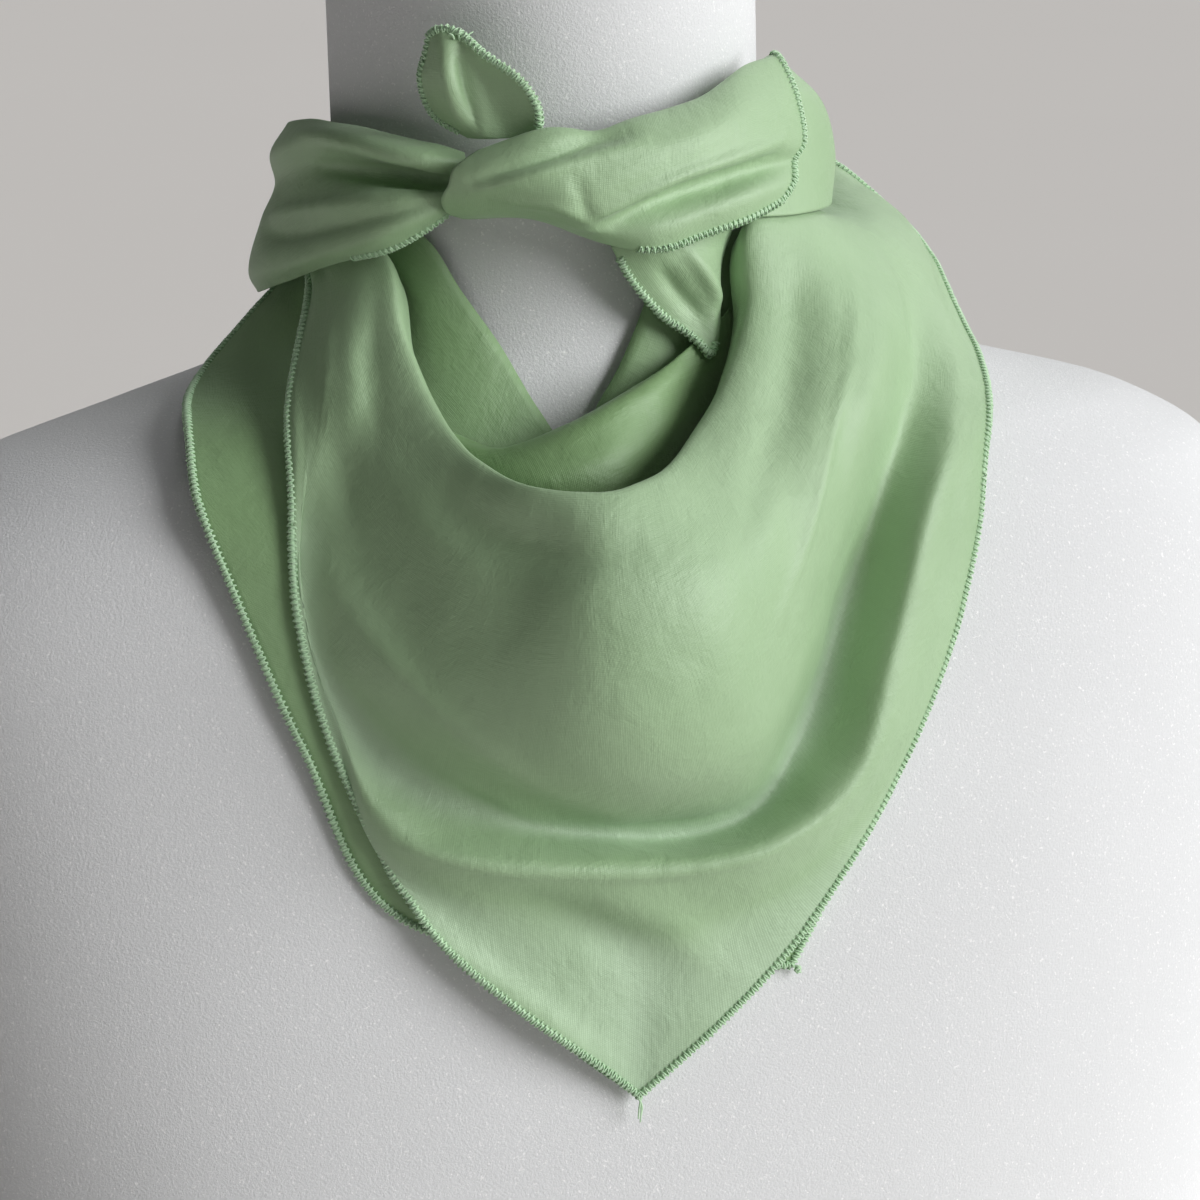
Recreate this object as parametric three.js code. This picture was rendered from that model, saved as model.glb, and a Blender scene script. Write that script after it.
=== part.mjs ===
// A silk square scarf, folded corner to corner and knotted at the front of a limbless dress form.
// Millimetres, +Z up. The origin is the middle of the form's flat base, and -Y is the front.
// Cloth is placed about the neck: turn in degrees from the front, reach out from the neck's axis,
// and height above the base. Positive turns go to +X.
import * as THREE from 'three';
import { mergeVertices } from 'three/addons/utils/BufferGeometryUtils.js';

const neckCentreY = 5;
const silkWall = 1.2;
const clearOfForm = 1.5;
const clearOfCloth = 1.65;
const lipTuck = { reach: -6, height: -7 };
const gradientStep = 0.4;
const searchDepth = 7;
const easePasses = 3;
const steps = 3;
const fewerSteps = 2;

const silk = { color: 0x93b587, roughness: 0.45, metalness: 0 };
const flock = { color: 0xe4e1e0, roughness: 0.95, metalness: 0 };

// Level sections of the form, from the base to the top of the neck.
const formSections = [
  { height: 0, side: 186, front: 93, back: 95, squareness: 2.5, middle: 0 },
  { height: 55, side: 190, front: 96, back: 98, squareness: 2.45, middle: 0 },
  { height: 110, side: 195, front: 94, back: 98, squareness: 2.4, middle: 0 },
  { height: 160, side: 198, front: 88, back: 94, squareness: 2.3, middle: 1 },
  { height: 195, side: 199, front: 80, back: 87, squareness: 2.2, middle: 2 },
  { height: 216, side: 190, front: 74, back: 80, squareness: 2.1, middle: 3 },
  { height: 232, side: 165, front: 68, back: 74, squareness: 2, middle: 4 },
  { height: 244, side: 124, front: 63, back: 69, squareness: 2, middle: 5 },
  { height: 254, side: 90, front: 60, back: 64, squareness: 2, middle: 5 },
  { height: 266, side: 69, front: 58, back: 60, squareness: 2, middle: 5 },
  { height: 282, side: 60, front: 57, back: 58, squareness: 2, middle: 5 },
  { height: 305, side: 56.8, front: 57, back: 57, squareness: 2, middle: 5 },
  { height: 368, side: 56.8, front: 57, back: 57, squareness: 2, middle: 5 },
];
const formRings = [0, 28, 55, 82, 110, 135, 160, 178, 195, 206, 216, 225, 232, 238, 244, 249, 254,
  260, 266, 274, 282, 293, 305, 336, 368];
const formSides = 44;

// Front drape: each cell is turn, reach, height. It hangs from the folded lip to the hem.
const frontDrape = [
  { at: 'left nape', lip: [-150, 63, 294], brow: [-150, 64, 292], belly: [-150, 65, 290],
    fold: [-150, 65, 288], valley: [-150, 65, 286], ridge: [-150, 66, 284],
    dip: [-150, 66, 283], hem: [-150, 66, 282] },
  { at: 'left back', lip: [-100, 63, 296], brow: [-102, 65, 293], belly: [-104, 67, 291],
    fold: [-105, 68, 289], valley: [-106, 67, 287], ridge: [-108, 68, 284],
    dip: [-109, 68, 282], hem: [-110, 68, 281] },
  { at: 'left side', lip: [-53, 70, 290], brow: [-56, 73, 288], belly: [-60, 74, 286],
    fold: [-64, 74, 284], valley: [-68, 73, 283], ridge: [-72, 73, 281],
    dip: [-74, 72, 280], hem: [-76, 72, 280] },
  { at: 'left top', lip: [-42, 83, 272], brow: [-45, 89, 266], belly: [-47, 95, 261],
    fold: [-50, 98, 257], valley: [-52, 100, 253], ridge: [-53, 102, 250],
    dip: [-54, 104, 248], hem: [-55, 105, 245] },
  { at: 'left', lip: [-32, 97, 253], brow: [-37, 105, 241], belly: [-43, 106, 232],
    fold: [-48, 111, 223], valley: [-50, 114, 215], ridge: [-49, 116, 211],
    dip: [-49, 118, 207], hem: [-49, 119, 204] },
  { at: 'low left', lip: [-24, 111, 244], brow: [-28, 117, 227], belly: [-34, 117, 210],
    fold: [-39, 120, 199], valley: [-44, 118, 188], ridge: [-43, 121, 179],
    dip: [-43, 121, 171], hem: [-42, 122, 164] },
  { at: 'near left', lip: [-17, 122, 241], brow: [-20, 126, 217], belly: [-24, 127, 198],
    fold: [-28, 124, 183], valley: [-33, 112, 163], ridge: [-33, 124, 151],
    dip: [-34, 117, 136], hem: [-32, 118, 124] },
  { at: 'middle', lip: [-10, 125, 240], brow: [-11, 138, 217], belly: [-10, 140, 195],
    fold: [-10, 131, 171], valley: [-6, 100, 145], ridge: [-6, 114, 142],
    dip: [-5, 105, 118], hem: [-6, 105, 76] },
  { at: 'near right', lip: [-4, 118, 241], brow: [-3, 137, 218], belly: [0, 137, 195],
    fold: [3, 128, 172], valley: [11, 101, 146], ridge: [9, 116, 142],
    dip: [14, 108, 125], hem: [18, 108, 113] },
  { at: 'low right', lip: [6, 98, 248], brow: [7, 125, 225], belly: [10, 125, 203],
    fold: [13, 119, 184], valley: [21, 102, 164], ridge: [22, 120, 155],
    dip: [29, 117, 154], hem: [34, 116, 155] },
  { at: 'right', lip: [16, 86, 259], brow: [18, 105, 244], belly: [19, 115, 230],
    fold: [23, 111, 214], valley: [31, 102, 197], ridge: [31, 120, 192],
    dip: [39, 120, 196], hem: [46, 122, 199] },
  { at: 'right top', lip: [27, 76, 274], brow: [32, 86, 268], belly: [33, 98, 259],
    fold: [34, 106, 249], valley: [42, 104, 233], ridge: [43, 118, 232],
    dip: [48, 120, 234], hem: [54, 122, 236] },
  { at: 'right side', lip: [35, 69, 294], brow: [48, 76, 290], belly: [58, 83, 283],
    fold: [66, 90, 277], valley: [71, 97, 270], ridge: [76, 105, 264],
    dip: [78, 108, 261], hem: [80, 112, 258] },
  { at: 'right back', lip: [80, 65, 295], brow: [85, 73, 286], belly: [89, 82, 285],
    fold: [93, 91, 285], valley: [96, 98, 284], ridge: [100, 107, 282],
    dip: [102, 110, 280], hem: [104, 113, 278] },
  { at: 'nape side', lip: [122, 63, 291], brow: [123, 70, 286], belly: [123, 77, 286],
    fold: [122, 84, 288], valley: [122, 90, 290], ridge: [121, 97, 293],
    dip: [120, 100, 294], hem: [120, 104, 295] },
  { at: 'right nape', lip: [152, 63, 296], brow: [152, 66, 294], belly: [152, 68, 292],
    fold: [152, 70, 290], valley: [152, 71, 288], ridge: [152, 72, 286],
    dip: [152, 72, 285], hem: [152, 73, 284] },
];
const frontTip = 7;

// Under layer: from its neckline on the throat down to its hem, close to the form.
const underDrape = [
  { at: 'left nape', neckline: [-135, 59, 291], upper: [-135, 61, 287], lower: [-135, 63, 283],
    hem: [-135, 66, 278] },
  { at: 'left back', neckline: [-95, 60, 294], upper: [-104, 61, 287], lower: [-112, 63, 281],
    hem: [-120, 68, 275] },
  { at: 'left side', neckline: [-54, 60, 295], upper: [-72, 62, 284], lower: [-90, 66, 278],
    hem: [-106, 73, 272] },
  { at: 'left top', neckline: [-45, 61, 291], upper: [-59, 68, 268], lower: [-77, 82, 262],
    hem: [-90, 94, 256] },
  { at: 'left', neckline: [-37, 61, 279], upper: [-46, 76, 253], lower: [-57, 98, 246],
    hem: [-69, 116, 247] },
  { at: 'low left', neckline: [-27, 63, 265], upper: [-36, 84, 234], lower: [-48, 105, 227],
    hem: [-61, 126, 232] },
  { at: 'outer left', neckline: [-18, 68, 249], upper: [-25, 87, 215], lower: [-38, 105, 198],
    hem: [-56, 127, 214] },
  { at: 'near left', neckline: [-14, 70, 243], upper: [-18, 89, 200], lower: [-28, 104, 167],
    hem: [-47, 125, 173] },
  { at: 'middle', neckline: [-9, 70, 242], upper: [-8, 86, 198], lower: [-11, 98, 155],
    hem: [-36, 118, 128] },
  { at: 'near middle', neckline: [-7, 67, 246], upper: [-2, 83, 205], lower: [-2, 96, 157],
    hem: [-9, 102, 112] },
  { at: 'near right', neckline: [-5, 65, 250], upper: [4, 81, 211], lower: [9, 96, 161],
    hem: [18, 105, 105] },
  { at: 'right', neckline: [1, 62, 259], upper: [25, 75, 238], lower: [32, 95, 207],
    hem: [36, 111, 159] },
  { at: 'right top', neckline: [9, 60, 275], upper: [42, 68, 263], lower: [49, 89, 244],
    hem: [50, 116, 208] },
  { at: 'right side', neckline: [13, 60, 287], upper: [46, 63, 281], lower: [58, 78, 266],
    hem: [60, 112, 240] },
  { at: 'right turn', neckline: [44, 60, 289], upper: [62, 62, 282], lower: [72, 76, 268],
    hem: [80, 104, 252] },
  { at: 'right back', neckline: [80, 60, 290], upper: [85, 66, 281], lower: [90, 78, 271],
    hem: [96, 92, 262] },
  { at: 'right nape', neckline: [135, 59, 290], upper: [135, 61, 286], lower: [135, 65, 282],
    hem: [135, 70, 277] },
];
const underTip = 10;

// Soft roll of cloth inside the cowl, between the throat and the lip.
const cowlRoll = [
  { at: 'left end', back: [-37, 74, 243], crest: [-34, 84, 243], face: [-31, 90, 237],
    foot: [-29, 91, 229] },
  { at: 'left', back: [-28, 71, 237], crest: [-23, 88, 243], face: [-20, 98, 238],
    foot: [-19, 98, 230] },
  { at: 'middle', back: [-16, 68, 234], crest: [-12, 86, 248], face: [-9, 96, 242],
    foot: [-8, 98, 230] },
  { at: 'right', back: [0, 64, 239], crest: [2, 77, 256], face: [2, 85, 247], foot: [2, 88, 235] },
  { at: 'far right', back: [12, 62, 247], crest: [14, 69, 262], face: [14, 73, 254],
    foot: [14, 75, 244] },
  { at: 'right end', back: [30, 64, 262], crest: [30, 64, 270], face: [30, 65, 264],
    foot: [30, 66, 257] },
];

// Left wrap, from the side of the neck to the knot, with its long crevice.
const leftWrap = [
  { at: 'back', top: [-120, 66, 311], upper: [-120, 72, 305], crevice: [-120, 71, 299],
    body: [-120, 74, 292], low: [-120, 76, 284], edge: [-120, 73, 279] },
  { at: 'side', top: [-102, 68, 316], upper: [-102, 73, 308], crevice: [-102, 72, 300],
    body: [-102, 76, 291], low: [-102, 80, 277], edge: [-102, 78, 272] },
  { at: 'front', top: [-80, 66, 320], upper: [-73, 72, 316], crevice: [-76, 70, 308],
    body: [-74, 75, 297], low: [-74, 80, 285], edge: [-78, 77, 279] },
  { at: 'middle', top: [-63, 67, 320], upper: [-56, 75, 317], crevice: [-60, 69, 311],
    body: [-56, 78, 302], low: [-55, 81, 292], edge: [-59, 77, 287] },
  { at: 'near', top: [-49, 68, 318], upper: [-44, 76, 315], crevice: [-48, 68, 310],
    body: [-44, 79, 304], low: [-44, 80, 297], edge: [-47, 75, 291] },
  { at: 'end', top: [-39, 68, 317], upper: [-37, 74, 314], crevice: [-39, 69, 309],
    body: [-37, 75, 306], low: [-37, 75, 301], edge: [-38, 71, 298] },
  { at: 'knot', top: [-33, 67, 315], upper: [-32, 70, 313], crevice: [-34, 68, 309],
    body: [-33, 70, 307], low: [-34, 69, 304], edge: [-35, 66, 302] },
];

// Right wrap, under the flap, from the knot to the back of the neck.
const rightWrap = [
  { at: 'knot', top: [-12, 63, 313], upper: [-12, 67, 310], lower: [-12, 67, 304],
    bottom: [-12, 64, 300] },
  { at: 'near', top: [8, 62, 315], upper: [8, 67, 310], lower: [8, 68, 301], bottom: [8, 65, 295] },
  { at: 'middle', top: [26, 62, 318], upper: [26, 69, 312], lower: [25, 70, 303],
    bottom: [24, 67, 295] },
  { at: 'front', top: [48, 62, 322], upper: [48, 68, 315], lower: [48, 72, 303],
    bottom: [44, 72, 293] },
  { at: 'turn', top: [67, 64, 328], upper: [65, 71, 320], lower: [63, 75, 305],
    bottom: [58, 75, 292] },
  { at: 'side', top: [82, 67, 324], upper: [82, 75, 316], lower: [81, 78, 304],
    bottom: [78, 76, 291] },
  { at: 'back', top: [115, 66, 315], upper: [115, 74, 310], lower: [115, 76, 303],
    bottom: [115, 72, 296] },
];

// Right flap: the scarf's corner folded over the right wrap, from its top fold to its hem.
const rightFlap = [
  { at: 'knot', top: [-31, 72, 314], edge: [-28, 76, 317], face: [-32, 80, 313],
    roll: [-33, 80, 309], crease: [-35, 78, 305], flap: [-35, 74, 301], hem: [-33, 70, 299] },
  { at: 'left', top: [-17, 70, 318], edge: [-15, 75, 322], face: [-18, 83, 313],
    roll: [-18, 83, 308], crease: [-19, 79, 303], flap: [-19, 75, 300], hem: [-19, 70, 299] },
  { at: 'middle', top: [-6, 67, 318], edge: [-6, 73, 321], face: [-8, 82, 313],
    roll: [-8, 83, 304], crease: [-7, 78, 297], flap: [-5, 76, 295], hem: [-3, 74, 292] },
  { at: 'near', top: [8, 65, 321], edge: [4, 71, 323], face: [3, 80, 316],
    roll: [3, 81, 307], crease: [3, 76, 302], flap: [4, 79, 296], hem: [6, 77, 290] },
  { at: 'right', top: [25, 64, 325], edge: [20, 68, 326], face: [16, 78, 319],
    roll: [15, 79, 309], crease: [17, 75, 305], flap: [15, 79, 299], hem: [17, 77, 293] },
  { at: 'far', top: [42, 64, 331], edge: [36, 66, 332], face: [30, 75, 323],
    roll: [28, 78, 311], crease: [30, 75, 307], flap: [26, 79, 302], hem: [25, 78, 295] },
  { at: 'end', top: [50, 66, 334], edge: [48, 69, 333], face: [46, 75, 322],
    roll: [45, 77, 312], crease: [43, 76, 308], flap: [40, 78, 303], hem: [35, 78, 298] },
];

// Upper tail: one corner of the square, standing up out of the knot.
const upperTail = [
  { at: 'root', left: [-32, 67, 319], fold: [-28, 69, 319], crease: [-23, 68, 319],
    right: [-16, 69, 320] },
  { at: 'low', left: [-41, 66, 325], fold: [-32, 72, 326], crease: [-25, 69, 326],
    right: [-16, 73, 327] },
  { at: 'middle', left: [-43, 67, 334], fold: [-34, 74, 335], crease: [-28, 70, 335],
    right: [-19, 74, 334] },
  { at: 'high', left: [-41, 68, 340], fold: [-35, 73, 342], crease: [-30, 71, 341],
    right: [-24, 73, 339] },
  { at: 'tip', left: [-40, 68, 345], fold: [-37, 70, 347], crease: [-34, 70, 347],
    right: [-31, 70, 344] },
];

// Lower tail: the opposite corner, hanging from behind the flap.
const lowerTail = [
  { at: 'root', left: [-2, 69, 291], fold: [7, 72, 292],
    crease: [18, 70, 293], right: [33, 64, 291] },
  { at: 'upper', left: [2, 67, 282], fold: [10, 70, 284],
    crease: [19, 71.5, 285], right: [30, 63, 283] },
  { at: 'lower', left: [10, 66, 271], fold: [17, 68, 273],
    crease: [22, 70, 276], right: [28, 64, 274] },
  { at: 'tip', left: [16, 67, 265], fold: [19, 68, 266],
    crease: [22, 69, 267], right: [25, 66, 268] },
  { at: 'end', left: [18, 69, 261], fold: [19, 70, 260],
    crease: [20, 70, 260], right: [22, 68, 262] },
];

// Bands that cross at the nape: level sections, with the puff of the cloth between its edges.
const napeBandOver = [
  { turn: 209.5, low: 282, high: 293, reach: 64, puff: 2 },
  { turn: 196, low: 282, high: 294, reach: 70, puff: 3 },
  { turn: 180, low: 287, high: 308, reach: 75, puff: 4 },
  { turn: 160, low: 298, high: 316, reach: 74, puff: 4 },
  { turn: 138, low: 299, high: 317, reach: 70, puff: 5 },
  { turn: 115.5, low: 296, high: 315, reach: 69, puff: 6 },
];
const napeBandUnder = [
  { turn: 152.5, low: 284, high: 296, reach: 68, puff: 2 },
  { turn: 166, low: 285, high: 299, reach: 66, puff: 2 },
  { turn: 180, low: 291, high: 308, reach: 66, puff: 3 },
  { turn: 196, low: 297, high: 311, reach: 66, puff: 4 },
  { turn: 216, low: 294, high: 310, reach: 69, puff: 4 },
  { turn: 239.5, low: 279, high: 311, reach: 70, puff: 5 },
];

const knotCore = { turn: -23, reach: 67, height: 309, across: 8, deep: 6.8, tall: 8, pleats: 3,
  pleatDepth: 0.08, sides: 16, bands: 9 };

// Places across a band, from its low edge to its high one, and how far each takes the puff.
const bandProfile = [
  { line: 'low', up: 0, out: -0.4 },
  { line: 'body', up: 0.26, out: 1 },
  { line: 'crevice', up: 0.5, out: 0.35 },
  { line: 'upper', up: 0.74, out: 0.95 },
  { line: 'high', up: 1, out: -0.3 },
];

function place(turn, reach, height) {
  const angle = THREE.MathUtils.degToRad(turn);
  const out = new THREE.Vector3(Math.sin(angle), -Math.cos(angle), 0);
  return out.multiplyScalar(reach).add(new THREE.Vector3(0, neckCentreY, height));
}

function secant(key, i) {
  const rise = formSections[i + 1][key] - formSections[i][key];
  return rise / (formSections[i + 1].height - formSections[i].height);
}

// Slope of a form value at one section, limited so that the curve never overshoots.
function slope(key, i) {
  if (i === 0) return secant(key, 0);
  if (i === formSections.length - 1) return secant(key, i - 1);
  const before = secant(key, i - 1);
  const after = secant(key, i);
  return before * after <= 0 ? 0 : (2 * before * after) / (before + after);
}

function formAt(height) {
  const last = formSections.length - 1;
  const level = THREE.MathUtils.clamp(height, 0, formSections[last].height);
  const above = formSections.findIndex((section) => section.height > level);
  const i = above < 0 ? last - 1 : above - 1;
  const span = formSections[i + 1].height - formSections[i].height;
  const t = (level - formSections[i].height) / span;
  const value = (key) => {
    const low = formSections[i][key];
    const high = formSections[i + 1][key];
    const rise = slope(key, i) * span * t * (1 - t) * (1 - t);
    const fall = slope(key, i + 1) * span * t * t * (1 - t);
    return low + (high - low) * t * t * (3 - 2 * t) + rise - fall;
  };
  const names = ['side', 'front', 'back', 'squareness', 'middle'];
  return Object.fromEntries(names.map((name) => [name, value(name)]));
}

// 1 on the form's surface, more outside it.
function fullness(point) {
  const section = formAt(point.z);
  const depth = point.y - section.middle;
  const across = Math.abs(point.x) / section.side;
  const along = Math.abs(depth) / (depth < 0 ? section.front : section.back);
  return (across ** section.squareness + along ** section.squareness) ** (1 / section.squareness);
}

function fullnessGradient(point) {
  const gradient = new THREE.Vector3();
  for (const axis of ['x', 'y', 'z']) {
    const before = point.clone();
    const after = point.clone();
    before[axis] -= gradientStep;
    after[axis] += gradientStep;
    gradient[axis] = (fullness(after) - fullness(before)) / (2 * gradientStep);
  }
  return gradient;
}

// Points spread evenly along a smooth line through cells, with one sharp corner if asked.
function spread(cells, finer, corner = 0) {
  const parts = corner ? [cells.slice(0, corner + 1), cells.slice(corner)] : [cells];
  return parts.flatMap((part, k) => {
    const curve = new THREE.CatmullRomCurve3(part, false, 'centripetal');
    const last = (part.length - 1) * finer;
    const points = Array.from({ length: last + 1 }, (_, i) => curve.getPoint(i / last));
    return k ? points.slice(1) : points;
  });
}

// Grid of points from a table of cells. The last column's line has the corner of the square.
function sheet(table, finerAlong, finerAcross, corner = 0) {
  const names = Object.keys(table[0]).filter((name) => name !== 'at');
  const lines = names.map((name, k) => {
    const cells = table.map((row) => new THREE.Vector3(...row[name]));
    return spread(cells, finerAlong, k === names.length - 1 ? corner : 0);
  });
  return lines[0].map((_, i) => {
    const across = spread(lines.map((line) => line[i]), finerAcross);
    return across.map((cell) => place(cell.x, cell.y, cell.z));
  });
}

// The lip turns in, so each section of the drape starts inside it.
function tucked(table) {
  return table.map(({ at, lip, ...rest }) => {
    const inside = [lip[0], lip[1] + lipTuck.reach, lip[2] + lipTuck.height];
    return { at, inside, lip, ...rest };
  });
}

function bandCells(rows) {
  return rows.map((row) => Object.fromEntries(bandProfile.map(({ line, up, out }) => {
    const height = row.low + (row.high - row.low) * up;
    return [line, [row.turn, row.reach + row.puff * out, height]];
  })));
}

// How far a point moves along a direction to clear the form and the cloth below it.
function needed(point, direction, gradient, below) {
  let push = clearOfForm - (fullness(point) - 1) / gradient.length();
  const start = point.clone().addScaledVector(direction, searchDepth);
  const ray = new THREE.Ray(start, direction.clone().negate());
  const hit = new THREE.Vector3();
  for (const [a, b, c] of below) {
    if (!ray.intersectTriangle(a, b, c, false, hit)) continue;
    const beyond = searchDepth - hit.distanceTo(start);
    if (beyond > -searchDepth) push = Math.max(push, beyond + clearOfCloth);
  }
  return Math.max(push, 0);
}

// Moves a grid's points out of what lies below, and eases the points round each that moves.
function laid(grid, below) {
  const gradients = grid.map((row) => row.map(fullnessGradient));
  const directions = gradients.map((row) => row.map((gradient) => gradient.clone().normalize()));
  let pushes = grid.map((row, i) => row.map((point, j) => (
    needed(point, directions[i][j], gradients[i][j], below))));
  for (let pass = 0; pass < easePasses; pass += 1) {
    pushes = pushes.map((row, i) => row.map((push, j) => {
      const near = [pushes[i - 1]?.[j], pushes[i + 1]?.[j], row[j - 1], row[j + 1]];
      const known = near.filter((value) => value !== undefined);
      return Math.max(push, known.reduce((sum, value) => sum + value, 0) / known.length);
    }));
  }
  return grid.map((row, i) => row.map((point, j) => (
    point.clone().addScaledVector(directions[i][j], pushes[i][j]))));
}

function normalAt(grid, i, j) {
  const along = new THREE.Vector3().subVectors(
    grid[Math.min(i + 1, grid.length - 1)][j], grid[Math.max(i - 1, 0)][j]);
  const across = new THREE.Vector3().subVectors(
    grid[i][Math.min(j + 1, grid[i].length - 1)], grid[i][Math.max(j - 1, 0)]);
  return along.cross(across).normalize();
}

function closedGeometry(points, faces) {
  const geometry = new THREE.BufferGeometry().setFromPoints(points);
  geometry.setIndex(faces.flat());
  geometry.computeVertexNormals();
  return geometry;
}

// A closed wall of even thickness about a grid.
function wall(grid) {
  const rows = grid.length;
  const columns = grid[0].length;
  const side = (sign) => grid.flatMap((row, i) => row.map((point, j) => (
    point.clone().addScaledVector(normalAt(grid, i, j), sign * silkWall / 2))));
  const points = [...side(1), ...side(-1)];
  const inner = rows * columns;
  const index = (i, j) => i * columns + j;
  const faces = [];
  for (let i = 0; i < rows - 1; i += 1) {
    for (let j = 0; j < columns - 1; j += 1) {
      const [a, b, c, d] = [index(i, j), index(i + 1, j), index(i + 1, j + 1), index(i, j + 1)];
      faces.push([a, b, d], [b, c, d]);
      faces.push([inner + a, inner + d, inner + b], [inner + b, inner + d, inner + c]);
    }
  }
  const rim = [];
  for (let i = 0; i < rows - 1; i += 1) rim.push(index(i, 0));
  for (let j = 0; j < columns - 1; j += 1) rim.push(index(rows - 1, j));
  for (let i = rows - 1; i > 0; i -= 1) rim.push(index(i, columns - 1));
  for (let j = columns - 1; j > 0; j -= 1) rim.push(index(0, j));
  rim.forEach((a, k) => {
    const b = rim[(k + 1) % rim.length];
    faces.push([a, inner + a, inner + b], [a, inner + b, b]);
  });
  return closedGeometry(points, faces);
}

// The solid form: level rings, closed by a flat base and a flat neck top.
function formGeometry() {
  const round = (cosine, power) => Math.sign(cosine) * Math.abs(cosine) ** power;
  const points = formRings.flatMap((height) => {
    const section = formAt(height);
    return Array.from({ length: formSides }, (_, k) => {
      const angle = (2 * Math.PI * k) / formSides;
      const x = section.side * round(Math.cos(angle), 2 / section.squareness);
      const depth = Math.sin(angle) < 0 ? section.front : section.back;
      const y = section.middle + depth * round(Math.sin(angle), 2 / section.squareness);
      return new THREE.Vector3(x, y, height);
    });
  });
  const lastRing = formRings.length - 1;
  const centre = (ring) => new THREE.Vector3(0, formAt(formRings[ring]).middle, formRings[ring]);
  const base = points.push(centre(0)) - 1;
  const top = points.push(centre(lastRing)) - 1;
  const faces = [];
  for (let k = 0; k < formSides; k += 1) {
    const next = (k + 1) % formSides;
    faces.push([base, next, k]);
    faces.push([top, lastRing * formSides + k, lastRing * formSides + next]);
    for (let ring = 0; ring < lastRing; ring += 1) {
      const [a, b] = [ring * formSides + k, ring * formSides + next];
      const [c, d] = [b + formSides, a + formSides];
      faces.push([a, b, c], [a, c, d]);
    }
  }
  return closedGeometry(points, faces);
}

// The heart of the knot, a small pleated lump against the neck.
function knotGeometry() {
  const ball = new THREE.SphereGeometry(1, knotCore.sides, knotCore.bands);
  ball.deleteAttribute('uv');
  ball.deleteAttribute('normal');
  const geometry = mergeVertices(ball);
  const places = geometry.getAttribute('position');
  const centre = place(knotCore.turn, knotCore.reach, knotCore.height);
  for (let i = 0; i < places.count; i += 1) {
    const point = new THREE.Vector3().fromBufferAttribute(places, i);
    const angle = Math.atan2(point.z, point.x);
    const pleat = 1 + knotCore.pleatDepth * Math.cos(knotCore.pleats * angle + point.y);
    point.multiply(new THREE.Vector3(knotCore.across, knotCore.deep, knotCore.tall));
    point.multiplyScalar(pleat);
    point.applyAxisAngle(new THREE.Vector3(0, 0, 1), THREE.MathUtils.degToRad(knotCore.turn));
    point.add(centre);
    places.setXYZ(i, point.x, point.y, point.z);
  }
  geometry.computeVertexNormals();
  return geometry;
}

function trianglesOf(...geometries) {
  return geometries.flatMap((geometry) => {
    const places = geometry.getAttribute('position');
    const corner = (k) => new THREE.Vector3().fromBufferAttribute(places, geometry.index.getX(k));
    const count = geometry.index.count / 3;
    return Array.from({ length: count }, (_, k) => [corner(3 * k), corner(3 * k + 1), corner(3 * k + 2)]);
  });
}

const scarfOnForm = new THREE.Group();

function add(name, look, geometry) {
  const mesh = new THREE.Mesh(geometry, new THREE.MeshStandardMaterial(look));
  mesh.name = name;
  scarfOnForm.add(mesh);
  return geometry;
}

function addCloth(name, grid, ...below) {
  return add(name, silk, wall(laid(grid, trianglesOf(...below))));
}

add('form_body', flock, formGeometry());
const under = addCloth('under_drape', sheet(underDrape, steps, steps, underTip));
const roll = addCloth('cowl_roll', sheet(cowlRoll, steps, steps), under);
const front = addCloth('front_drape', sheet(tucked(frontDrape), steps, steps, frontTip), under);
const bandUnder = addCloth('nape_band_under', sheet(bandCells(napeBandUnder), steps, steps),
  under, front);
const left = addCloth('left_wrap', sheet(leftWrap, steps, fewerSteps), under, front, bandUnder);
const right = addCloth('right_wrap', sheet(rightWrap, steps, steps), under, front);
addCloth('nape_band_over', sheet(bandCells(napeBandOver), steps, steps), under, front, bandUnder);
add('knot_core', silk, knotGeometry());
addCloth('right_flap', sheet(rightFlap, steps, fewerSteps), left, right);
addCloth('upper_tail', sheet(upperTail, fewerSteps, steps), right);
addCloth('lower_tail', sheet(lowerTail, fewerSteps, steps), right, roll);

export default scarfOnForm;
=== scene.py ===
"""A silk square scarf, knotted at the front of a limbless dress form, dressed over its CAD frame.

The tables are in millimetres. Cloth is placed about the neck: turn in degrees from the front, reach
out from the neck's axis, and height above the base. Positive turns go to +X. Meshes are in metres.
"""

import math

import bpy
import numpy as np
from mathutils import Matrix, noise, Vector
from mathutils.bvhtree import BVHTree


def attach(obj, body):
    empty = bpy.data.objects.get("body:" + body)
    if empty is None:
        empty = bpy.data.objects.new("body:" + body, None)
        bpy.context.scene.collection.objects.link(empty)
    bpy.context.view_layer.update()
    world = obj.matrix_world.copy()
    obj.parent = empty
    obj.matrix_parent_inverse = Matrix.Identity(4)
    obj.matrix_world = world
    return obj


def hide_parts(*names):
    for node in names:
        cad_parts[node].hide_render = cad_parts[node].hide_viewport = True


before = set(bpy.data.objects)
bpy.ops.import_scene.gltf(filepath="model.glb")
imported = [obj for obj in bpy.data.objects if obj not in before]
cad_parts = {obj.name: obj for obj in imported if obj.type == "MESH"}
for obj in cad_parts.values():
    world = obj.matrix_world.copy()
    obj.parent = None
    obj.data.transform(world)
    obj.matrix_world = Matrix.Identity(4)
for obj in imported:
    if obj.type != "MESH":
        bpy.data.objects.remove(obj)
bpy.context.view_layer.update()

MM = 0.001

# How cloth is laid: the neck's axis, the cloth's distances from what it lies on, the step of a
# slope, the reach of a search, and how often a push is eased into its neighbours.
NECK_CENTRE_Y = 5
CLEAR_OF_FORM = 1.5
CLEAR_OF_CLOTH = 1.65
LIP_TUCK = (0, -6, -7)
GRADIENT_STEP = 0.4
SEARCH_DEPTH = 7
EASE_PASSES = 3
CLOTH_THICKNESS = 0.5

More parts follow.
